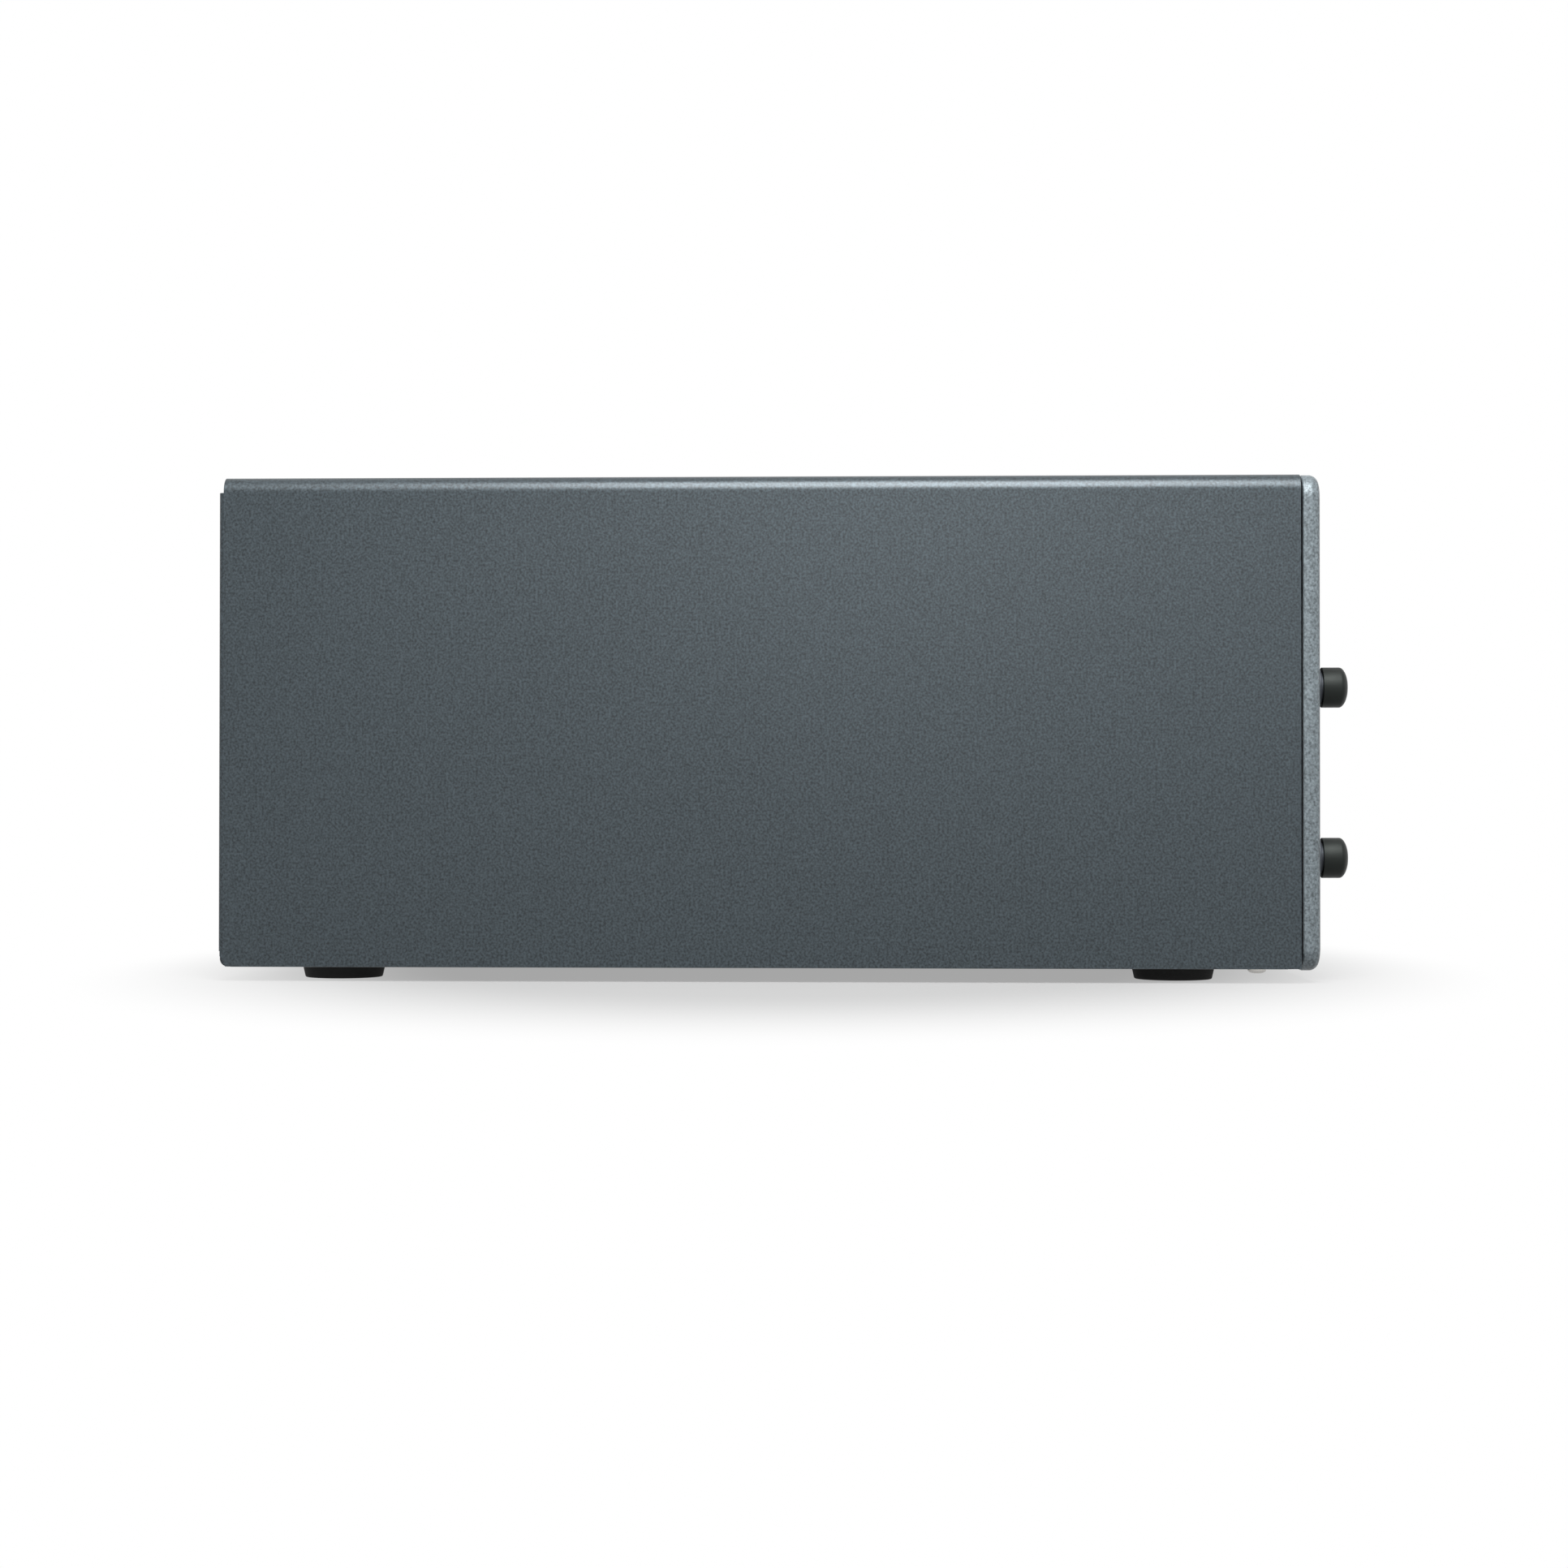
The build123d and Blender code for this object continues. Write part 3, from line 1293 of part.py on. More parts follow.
# Logic board of the drive with its plug at the back
board_z = base_floor_z + board_rise
board_y = drive_rear_y - base_wall - seat_gap - board_depth / 2
with BuildPart() as drive_board:
    with BuildSketch(Plane.XY.offset(board_z)):
        with Locations((plug_x, board_y)):
            Rectangle(board_width, board_depth)
        with Locations((reel_x, reel_y)):
            RegularPolygon(reel_boss_radius + 2 * running_gap, hub_sides, mode=Mode.SUBTRACT)
    extrude(amount=board_thickness)
    with BuildSketch(Plane.XY.offset(board_z + board_thickness)):
        with Locations((plug_x, board_y)):
            with GridLocations(board_width - 2 * chip_inset, board_depth - 2 * chip_inset, 2, 2):
                Rectangle(chip_size, chip_size)
    extrude(amount=chip_height)
    with BuildSketch(Plane.XY.offset(base_floor_z + seat_gap)):
        with Locations((plug_x, board_y)):
            with GridLocations(
                board_width - 2 * board_post_inset,
                board_depth - 2 * board_post_inset,
                2,
                2,
            ):
                RegularPolygon(board_post, screw_sides)
    extrude(amount=board_rise - seat_gap)
    with BuildSketch(upright(drive_rear_y - base_wall - plug_root)):
        with Locations((plug_x, plug_z)):
            Rectangle(plug_width, plug_height)
    extrude(amount=-(plug_length + base_wall + plug_root))

# Motor that loads the cartridge, with its worm
motor_z = base_floor_z + seat_gap + motor_flat
with BuildPart() as load_motor:
    with BuildSketch(upright(drive_front_y + motor_setback)):
        with Locations((motor_x, motor_z)):
            RegularPolygon(motor_radius, hub_sides)
            Rectangle(2 * motor_radius, 2 * motor_flat, mode=Mode.INTERSECT)
    extrude(amount=-motor_length)
    with BuildSketch(upright(drive_front_y + motor_setback)):
        with Locations((motor_x, motor_z)):
            RegularPolygon(worm_radius, post_sides)
    extrude(amount=worm_length)

# The pieces of the enclosure
enclosure = {
    "cover": cover,
    "front_bezel": front_bezel,
    "bottom_pan": bottom_pan,
    "rear_panel": rear_panel,
    "vent_mesh": vent_mesh,
    "power_light": power_light,
    "rubber_feet": rubber_feet,
    "case_screws": case_screws,
    "drive_cage": drive_cage,
    "sled_rails": sled_rails,
    "backplane_board": backplane_board,
    "backplane_sockets": backplane_sockets,
    "power_supply": power_supply,
    "power_inlet": power_inlet,
    "power_rocker": power_rocker,
    "fan_frames": fan_frames,
    "interface_board": interface_board,
    "interface_ports": interface_ports,
    **fan_rotors,
}
for node_name, piece in enclosure.items():
    piece.part.label = node_name
    export_step(piece.part, f"parts/{node_name}.step")

# Each sled has the same pieces, one pitch apart
sled_pieces = {
    "sled_tray": sled_tray,
    "sled_front": sled_front,
    "thumbscrew_ferrules": thumbscrew_ferrules,
    "left_thumbscrew": thumbscrews["left"],
    "right_thumbscrew": thumbscrews["right"],
    "left_screw_clip": thumb_clips["left"],
    "right_screw_clip": thumb_clips["right"],
    "drive_base": drive_base,
    "drive_lid": drive_lid,
    "drive_screws": drive_screws,
    "drive_bezel": drive_bezel,
    "cartridge_door": cartridge_door,
    "eject_button": eject_button,
    "cartridge_carriage": cartridge_carriage,
    "supply_hub": supply_hub,
    "takeup_reel": takeup_reel,
    "tape_guides": tape_guides,
    "head_carriage": head_carriage,
    "drive_board": drive_board,
    "load_motor": load_motor,
}
for level_name, lift in (("lower", 0.0), ("upper", sled_pitch)):
    for piece_name, piece in sled_pieces.items():
        placed = piece.part.moved(Location((0, 0, lift)))
        placed.label = f"{level_name}_{piece_name}"
        export_step(placed, f"parts/{placed.label}.step")
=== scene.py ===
"""Looks of the desktop tape enclosure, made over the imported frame."""

import json
import logging
import math
from dataclasses import dataclass, field
from enum import Enum
from typing import Any, Iterable, Mapping, Sequence, Union

import bmesh
import bpy
from mathutils import Matrix, Vector


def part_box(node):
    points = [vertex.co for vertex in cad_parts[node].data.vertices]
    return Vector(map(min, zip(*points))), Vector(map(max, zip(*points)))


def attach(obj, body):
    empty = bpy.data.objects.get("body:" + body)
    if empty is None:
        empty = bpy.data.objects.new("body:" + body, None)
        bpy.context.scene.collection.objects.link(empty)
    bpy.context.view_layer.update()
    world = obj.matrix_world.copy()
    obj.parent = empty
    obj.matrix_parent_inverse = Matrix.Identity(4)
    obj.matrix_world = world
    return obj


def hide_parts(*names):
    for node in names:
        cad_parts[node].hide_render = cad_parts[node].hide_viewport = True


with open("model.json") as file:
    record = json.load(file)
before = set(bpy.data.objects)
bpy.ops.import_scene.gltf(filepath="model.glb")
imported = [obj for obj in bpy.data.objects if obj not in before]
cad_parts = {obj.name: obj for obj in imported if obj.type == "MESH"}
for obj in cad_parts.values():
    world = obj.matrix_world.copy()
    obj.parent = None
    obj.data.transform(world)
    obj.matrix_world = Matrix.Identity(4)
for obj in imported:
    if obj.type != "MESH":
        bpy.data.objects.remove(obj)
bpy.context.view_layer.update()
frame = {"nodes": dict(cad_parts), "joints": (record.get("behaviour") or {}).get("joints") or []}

LOG = logging.getLogger("tape_enclosure")

Colour = tuple[float, float, float]
Point = tuple[float, float]
Section = tuple[float, float, float]
Number = Union[int, float]
LEVELS = ("lower", "upper")
SIDES = ("left", "right")


def grey(red: int, green: int, blue: int) -> Colour:
    """Turns display values from 0 to 255 into the linear colour that the shaders take."""

    def linear(value: int) -> float:
        share = value / 255
        return share / 12.92 if share <= 0.04045 else ((share + 0.055) / 1.055) ** 2.4

    return (linear(red), linear(green), linear(blue))


def shade(tone: Colour, share: float, lift: float = 0.0) -> Colour:
    """Darkens or lightens a colour."""
    return tuple(channel * share + lift for channel in tone)


def corners(node: str) -> tuple[Vector, Vector]:
    """Finds a CAD node's box.

    Args:
        node: the node's name.

    Returns:
        Its lowest and highest corner, in millimetres.
    """
    low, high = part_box(node)
    return low * 1000.0, high * 1000.0


def hinge(joint: str) -> Vector:
    """Gives the point that a joint turns about, in millimetres."""
    found = next(entry for entry in frame["joints"] if entry["name"] == joint)
    return Vector(found["pos_m"]) * 1000.0


# Shader maths


class Flow:
    """A number on its way through a material's nodes, which Python's operators work on."""

    def __init__(self, recipe: "Graph", socket: bpy.types.NodeSocket) -> None:
        """Keeps the nodes and the output socket that carries the number."""
        self.recipe = recipe
        self.socket = socket

    def _maths(self, operation: str, first: Any, second: Any) -> "Flow":
        """Adds a Math node.

        Args:
            operation: the node's operation.
            first: a Flow or a number.
            second: a Flow or a number.

        Returns:
            The node's result.
        """
        node = self.recipe.node("ShaderNodeMath", {"operation": operation}, {0: first, 1: second})
        return Flow(self.recipe, node.outputs[0])

    def __add__(self, other: Any) -> "Flow":
        """This plus the other."""
        return self._maths("ADD", self, other)

    def __radd__(self, other: Any) -> "Flow":
        """The other plus this."""
        return self._maths("ADD", other, self)

    def __sub__(self, other: Any) -> "Flow":
        """This less the other."""
        return self._maths("SUBTRACT", self, other)

    def __rsub__(self, other: Any) -> "Flow":
        """The other less this."""
        return self._maths("SUBTRACT", other, self)

    def __mul__(self, other: Any) -> "Flow":
        """This times the other."""
        return self._maths("MULTIPLY", self, other)

    def __rmul__(self, other: Any) -> "Flow":
        """The other times this."""
        return self._maths("MULTIPLY", other, self)

    def __truediv__(self, other: Any) -> "Flow":
        """This divided by the other."""
        return self._maths("DIVIDE", self, other)

    def __rtruediv__(self, other: Any) -> "Flow":
        """The other divided by this."""
        return self._maths("DIVIDE", other, self)

    def between(self, low: Number, high: Number) -> "Flow":
        """Spreads a range of this over 0 to 1.

        Args:
            low: the value that becomes 0.
            high: the value that becomes 1.

        Returns:
            The clamped result.
        """
        node = self.recipe.node(
            "ShaderNodeMapRange",
            {"clamp": True},
            {"Value": self, "From Min": low, "From Max": high, "To Min": 0.0, "To Max": 1.0},
        )
        return Flow(self.recipe, node.outputs[0])


class Graph:
    """The nodes of one material or world."""

    def __init__(self, owner: bpy.types.ID) -> None:
        """Takes away the nodes that the owner starts with."""
        owner.use_nodes = True
        self.tree = owner.node_tree
        self.tree.nodes.clear()

    def node(
        self,
        kind: str,
        settings: Mapping[str, Any] | None = None,
        inputs: Mapping[Any, Any] | None = None,
    ) -> bpy.types.Node:
        """Adds a node.

        Args:
            kind: the node's type.
            settings: properties, which are set first.
            inputs: values or links for its sockets, by name or index.

        Returns:
            The new node.
        """
        node = self.tree.nodes.new(kind)
        for key, value in (settings or {}).items():
            setattr(node, key, value)
        self.feed(node, inputs or {})
        return node

    def feed(self, node: bpy.types.Node, inputs: Mapping[Any, Any]) -> None:
        """Sets or links sockets of a node.

        Args:
            node: the node.
            inputs: values or links, by the socket's name or index.
        """
        for key, value in inputs.items():
            socket = node.inputs[key]
            if isinstance(value, Flow):
                self.tree.links.new(value.socket, socket)
            elif isinstance(value, bpy.types.NodeSocket):
                self.tree.links.new(value, socket)
            elif isinstance(value, tuple) and len(value) == 3 and len(socket.default_value) == 4:
                socket.default_value = (*value, 1.0)
            else:
                socket.default_value = value

    def viewed(self) -> Flow:
        """Gives 1 where the camera, a mirror or glass looks, and 0 where lamps light."""
        path = self.node("ShaderNodeLightPath")
        kinds = ("Is Camera Ray", "Is Glossy Ray", "Is Transmission Ray")
        camera, mirror, glass = (Flow(self, path.outputs[kind]) for kind in kinds)
        return (camera + mirror + glass).between(0.0, 1.0)


class Recipe(Graph):
    """The nodes of one material, with a Principled shader."""

    def __init__(self, name: str) -> None:
        """Starts the material.

        Args:
            name: the material's name.
        """
        self.material = bpy.data.materials.new(name)
        super().__init__(self.material)
        self.shader = self.node("ShaderNodeBsdfPrincipled")
        surface = {"Surface": self.shader.outputs[0]}
        self.output = self.node("ShaderNodeOutputMaterial", None, surface)

    def place(self, stretch: Section = (1.0, 1.0, 1.0)) -> bpy.types.NodeSocket:
        """Gives the point on the piece, in its own metres, with each axis stretched."""
        where = self.node("ShaderNodeTexCoord").outputs["Object"]
        if stretch == (1.0, 1.0, 1.0):
            return where
        scaled = self.node("ShaderNodeVectorMath", {"operation": "MULTIPLY"}, {0: where, 1: stretch})
        return scaled.outputs[0]

    def noise(
        self, size: float, detail: float = 3.0, stretch: Section = (1.0, 1.0, 1.0)
    ) -> Flow:
        """Adds soft noise.

        Args:
            size: the size of its lumps in millimetres.
            detail: how many finer layers it has.
            stretch: how much each axis is squeezed.

        Returns:
            A number round 0.5.
        """
        inputs = {"Vector": self.place(stretch), "Scale": 1000.0 / size, "Detail": detail}
        return Flow(self, self.node("ShaderNodeTexNoise", None, inputs).outputs[0])

    def cells(self, size: float, feature: str = "F1") -> Flow:
        """Adds cells and gives the distance from their middles.

        Args:
            size: the size of a cell in millimetres.
            feature: which distance is taken.

        Returns:
            A number from 0 up.
        """
        inputs = {"Vector": self.place(), "Scale": 1000.0 / size}
        node = self.node("ShaderNodeTexVoronoi", {"feature": feature}, inputs)
        return Flow(self, node.outputs["Distance"])

    def blend(self, share: Any, one: Any, two: Any) -> bpy.types.NodeSocket:
        """Mixes two colours.

        Args:
            share: how much of the second, a Flow or a number.
            one: the first colour, or a colour socket.
            two: the second colour, or a colour socket.

        Returns:
            The mixed colour.
        """
        mix = self.node("ShaderNodeMix", {"data_type": "RGBA"}, {0: share})
        self.feed(mix, {6: one, 7: two})
        return mix.outputs[2]

    def relief(self, height: Flow, depth: float, strength: float = 1.0) -> bpy.types.NodeSocket:
        """Turns a height into a bump.

        Args:
            height: a number from 0 to 1.
            depth: how many millimetres 1 stands for.
            strength: how strong the bump is.

        Returns:
            The bumped normal.
        """
        inputs = {"Height": height, "Distance": depth / 1000.0, "Strength": strength}
        return self.node("ShaderNodeBump", None, inputs).outputs[0]

    def surface(self, **sockets: Any) -> bpy.types.Material:
        """Feeds the shader and gives the finished material.

        Args:
            sockets: values or links by the socket's name, with _ for a space.

        Returns:
            The material.
        """
        self.feed(self.shader, {key.replace("_", " "): value for key, value in sockets.items()})
        return self.material


# Finishes


@dataclass(frozen=True)
class PowderCoat:
    """Satin powder coat: a dark binder with small metal flakes in it."""

    name: str
    tone: Colour
    flake_size: float = 0.55
    metal: float = 0.32
    gloss: float = 0.26
    grain: float = 0.012
    binder: float = 0.43
    spark: float = 1.76

    def material(self) -> bpy.types.Material:
        """Makes the paint: even flakes, a coarser mottle under them, a faint cloud and grain."""
        recipe = Recipe(self.name)
        flake = recipe.noise(self.flake_size, 1.0).between(0.26, 0.74)
        mottle = recipe.noise(self.flake_size * 4.5, 2.0).between(0.30, 0.70)
        cloud = recipe.noise(90.0, 2.0)
        binder = shade(self.tone, self.binder)
        bright = shade(self.tone, self.spark)
        return recipe.surface(
            Base_Color=recipe.blend(flake * 0.84 + mottle * 0.07 + cloud * 0.09, binder, bright),
            Metallic=self.metal + 0.15 * flake,
            Roughness=self.gloss + 0.05 * flake + (cloud - 0.5) * 0.04,
            Normal=recipe.relief(flake, self.grain, 0.5),
            Specular_IOR_Level=0.35,
        )


@dataclass(frozen=True)
class Moulding:
    """Moulded plastic with a fine eroded texture."""

    name: str
    tone: Colour
    gloss: float = 0.44
    grain: float = 0.55
    depth: float = 0.05

    def material(self) -> bpy.types.Material:
        """Makes the plastic: an eroded texture in tone and height, and slightly rubbed patches."""
        recipe = Recipe(self.name)
        texture = recipe.cells(self.grain).between(0.10, 0.75)
        rubbed = recipe.noise(22.0, 4.0).between(0.42, 0.70)
        dark = shade(self.tone, 0.80)
        light = shade(self.tone, 1.25, 0.003)
        return recipe.surface(
            Base_Color=recipe.blend(rubbed * 0.35 + texture * 0.65, dark, light),
            Roughness=self.gloss - 0.08 * rubbed + 0.10 * texture,
            Normal=recipe.relief(texture, self.depth, 0.8),
        )


@dataclass(frozen=True)
class SheetMetal:
    """Plated sheet steel with rolling marks."""

    name: str
    tone: Colour
    gloss: float = 0.36
    streak: Section = (0.05, 1.0, 0.05)

    def material(self) -> bpy.types.Material:
        """Makes the sheet: streaks along it, the plating's patches and faint scratches."""
        recipe = Recipe(self.name)
        marks = recipe.noise(0.35, 3.0, self.streak)
        patches = recipe.noise(7.0, 3.0)
        dark = shade(self.tone, 0.80)
        return recipe.surface(
            Base_Color=recipe.blend(marks * 0.6 + patches * 0.4, dark, self.tone),
            Metallic=1.0,
            Roughness=self.gloss + 0.16 * (marks - 0.5) + 0.10 * patches,
            Normal=recipe.relief(marks, 0.01, 0.5),
        )


@dataclass(frozen=True)
class CastMetal:
    """Die-cast aluminium, blasted."""

    name: str
    tone: Colour
    gloss: float = 0.50

    def material(self) -> bpy.types.Material:
        """Makes the casting: grain, flow patches and duller low spots."""
        recipe = Recipe(self.name)
        grain = recipe.noise(0.6, 4.0)
        flow = recipe.noise(26.0, 3.0)
        dark = shade(self.tone, 0.78)
        return recipe.surface(
            Base_Color=recipe.blend(grain * 0.5 + flow * 0.5, dark, self.tone),
            Metallic=0.9,
            Roughness=self.gloss + 0.14 * grain,
            Normal=recipe.relief(grain, 0.05, 0.6),
        )


@dataclass(frozen=True)
class Plated:
    """Bright plating, or polished steel."""

    name: str
    tone: Colour
    gloss: float = 0.18
    metal: float = 1.0

    def material(self) -> bpy.types.Material:
        """Makes the plating: handling marks and hair scratches."""
        recipe = Recipe(self.name)
        haze = recipe.noise(3.0, 3.0)
        hairs = recipe.noise(0.12, 2.0, (1.0, 0.08, 1.0)).between(0.55, 0.75)
        dark = shade(self.tone, 0.86)
        return recipe.surface(
            Base_Color=recipe.blend(haze, dark, self.tone),
            Metallic=self.metal,
            Roughness=self.gloss + 0.12 * haze + 0.08 * hairs,
            Normal=recipe.relief(hairs, 0.004, 0.4),
        )


@dataclass(frozen=True)
class Rubber:
    """Moulded black rubber."""

    name: str
    tone: Colour

    def material(self) -> bpy.types.Material:
        """Makes the rubber: a dull skin with a little dust in the grain."""
        recipe = Recipe(self.name)
        grain = recipe.noise(0.5, 4.0)
        dust = recipe.noise(9.0, 5.0).between(0.52, 0.80)
        light = shade(self.tone, 1.0, 0.003)
        return recipe.surface(
            Base_Color=recipe.blend(dust * 0.5, self.tone, light),
            Specular_IOR_Level=0.0,
            Roughness=0.70 + 0.18 * grain,
            Normal=recipe.relief(grain, 0.04, 0.6),
        )


@dataclass(frozen=True)
class SolderMask:
    """Green circuit board with tracks under the mask."""

    name: str
    tone: Colour

    def material(self) -> bpy.types.Material:
        """Makes the board: tracks in two directions, pads and a glossy mask."""
        recipe = Recipe(self.name)
        along = recipe.noise(3.0, 0.0, (1.0, 0.06, 1.0)).between(0.52, 0.54)
        across = recipe.noise(3.0, 0.0, (0.06, 1.0, 1.0)).between(0.56, 0.58)
        pads = 1.0 - recipe.cells(2.6).between(0.12, 0.16)
        light = shade(self.tone, 1.7, 0.01)
        tracks = (along + across) * 0.5
        masked = recipe.blend(tracks, self.tone, light)
        return recipe.surface(
            Base_Color=recipe.blend(pads, masked, (0.62, 0.60, 0.52)),
            Roughness=0.34 - 0.10 * tracks,
            Normal=recipe.relief(tracks, 0.03, 0.5),
        )


@dataclass(frozen=True)
class Lens:
    """Clear or dark moulded window."""

    name: str
    tone: Colour
    gloss: float = 0.10
    clear: float = 0.0
    glow: float = 0.0

    def material(self) -> bpy.types.Material:
        """Makes the window: a smooth skin with faint smears."""
        recipe = Recipe(self.name)
        smear = recipe.noise(5.0, 4.0)
        return recipe.surface(
            Base_Color=recipe.blend(smear * 0.2, self.tone, shade(self.tone, 0.8)),
            Roughness=self.gloss + 0.06 * smear,
            Transmission_Weight=self.clear,
            Emission_Color=self.tone,
            Emission_Strength=self.glow,
        )


Finish = Union[PowderCoat, Moulding, SheetMetal, CastMetal, Plated, Rubber, SolderMask, Lens]


class Paint(Enum):
    """The finishes of the enclosure, with the record's slot that each belongs to."""

    CASE = ("case_paint", PowderCoat("case_powder_coat", grey(49, 56, 60), 0.68, gloss=0.33))
    BEZEL = ("bezel_paint", PowderCoat("bezel_powder_coat", grey(93, 101, 105), 0.72, 0.25, 0.36, 0.03))
    BLACK_OXIDE = ("black_steel", Plated("black_oxide", grey(27, 31, 29), 0.44, 0.7))
    COLLAR = ("black_steel", Plated("grey_phosphate", grey(58, 62, 68), 0.45, 0.6))
    MESH = ("black_steel", PowderCoat("mesh_black", grey(30, 32, 33), metal=0.1))
    LENS = ("clear_lens", Lens("light_pipe", (0.80, 0.86, 0.82), 0.12, 0.6))
    FOOT = ("foot_rubber", Rubber("foot_rubber", grey(4, 4, 4)))
    SCREW = ("bright_screws", Plated("bright_nickel", grey(212, 210, 206)))
    ZINC = ("zinc_steel", SheetMetal("zinc_sheet", grey(198, 200, 202)))
    SUPPLY = ("supply_case", SheetMetal("supply_sheet", grey(190, 192, 194), 0.42, (1.0, 0.05, 0.05)))
    BOARD = ("circuit_board", SolderMask("solder_mask", grey(16, 82, 48)))
    BLACK = ("black_plastic", Moulding("black_moulding", grey(33, 34, 36)))
    SOCKET = ("black_plastic", Moulding("socket_moulding", grey(26, 27, 29), 0.34, 0.4, 0.02))
    BUTTON = ("button_plastic", Moulding("button_moulding", grey(120, 123, 127), 0.40, 0.4, 0.02))
    HUB = ("hub_plastic", Moulding("hub_moulding", grey(216, 214, 206), 0.40, 0.5, 0.01))
    PORT = ("port_steel", Plated("port_nickel", grey(196, 197, 198), 0.26))
    POLISHED = ("polished_steel", Plated("ground_steel", grey(214, 214, 214), 0.12))
    CAST = ("cast_aluminium", CastMetal("cast_aluminium", grey(186, 188, 190)))
    MARK = ("button_plastic", Moulding("printed_mark", grey(226, 228, 228), 0.5, 0.3, 0.004))
    GLASS = ("black_plastic", Lens("display_window", grey(18, 20, 22), 0.07))
    LED = ("clear_lens", Lens("status_green", (0.12, 0.62, 0.22), 0.2, 0.0, 0.4))

    @property
    def slot(self) -> str:
        """The record's material slot."""
        return self.value[0]

    def material(self) -> bpy.types.Material:
        """The finish's material, made the first time that it is asked for."""
        return bpy.data.materials.get(self.value[1].name) or self.value[1].material()


# Mesh making


class Facing(Enum):
    """Which way a flat shape lies: its two axes first, then the axis that it is thick along."""

    FRONT = (0, 2, 1)
    TOP = (0, 1, 2)
    SIDE = (1, 2, 0)

    def point(self, across: float, up: float, along: float) -> Vector:
        """Puts a flat shape's point into the CAD frame."""
        spot = Vector((0.0, 0.0, 0.0))
        for axis, value in zip(self.value, (across, up, along)):
            spot[axis] = value
        return spot


def circle(centre: Point, radius: float, sides: int) -> list[Point]:
    """Gives the points of a circle."""
    turns = [2 * math.pi * side / sides for side in range(sides)]
    return [(centre[0] + radius * math.cos(a), centre[1] + radius * math.sin(a)) for a in turns]


class Outline:
    """A closed flat shape that can be grown."""

    def points(self, grow: float) -> list[Point]:
        """Gives the shape's points, grown outward by an amount."""
        raise NotImplementedError


@dataclass(frozen=True)
class Rounded(Outline):
    """Rectangle with rounded corners, given by its middle and its size."""

    across: float
    up: float
    width: float
    height: float
    corner: float = 0.5
    steps: int = 6

    def points(self, grow: float) -> list[Point]:
        """Gives the points, with the corners rounder as it grows."""
        radius = max(self.corner + grow, 0.02)
        half_width = self.width / 2 + grow - radius
        half_height = self.height / 2 + grow - radius
        found = []
        for quarter, (side, top) in enumerate(((1, 1), (-1, 1), (-1, -1), (1, -1))):
            for step in range(self.steps + 1):
                angle = math.pi / 2 * (quarter + step / self.steps)
                across = self.across + side * half_width + radius * math.cos(angle)
                up = self.up + top * half_height + radius * math.sin(angle)
                found.append((across, up))
        return found


@dataclass(frozen=True)
class Disc(Outline):
    """Circle, given by its middle and radius."""

    across: float
    up: float
    radius: float
    sides: int = 48

    def points(self, grow: float) -> list[Point]:
        """Gives the points of the grown circle."""
        return circle((self.across, self.up), self.radius + grow, self.sides)


@dataclass(frozen=True)
class CrossRecess(Outline):
    """Plus-shaped recess for a screwdriver."""

    across: float
    up: float
    reach: float
    width: float

    def points(self, grow: float) -> list[Point]:
        """Gives the twelve corners of the grown plus."""
        far = self.reach + grow
        near = self.width / 2 + grow
        arm = ((far, -near), (far, near), (near, near))
        found = []
        for quarter in range(4):
            turn = math.pi / 2 * quarter
            for u, v in arm:
                across = self.across + u * math.cos(turn) - v * math.sin(turn)
                up = self.up + u * math.sin(turn) + v * math.cos(turn)
                found.append((across, up))
        return found


@dataclass(frozen=True)
class Drawn(Outline):
    """Shape given by its corners, which stays the same size."""

    corners: tuple[Point, ...]

    def points(self, grow: float) -> list[Point]:
        """Gives the corners."""
        return list(self.corners)


def eased(start: float, radius: float, steps: int) -> list[Point]:
    """Lays out an edge that opens out in a quarter round, as places and insets."""
    turns = [math.pi / 2 * (step / steps) for step in range(steps + 1)]
    return [(start + radius * (1 - math.cos(a)), radius * (1 - math.sin(a))) for a in turns]


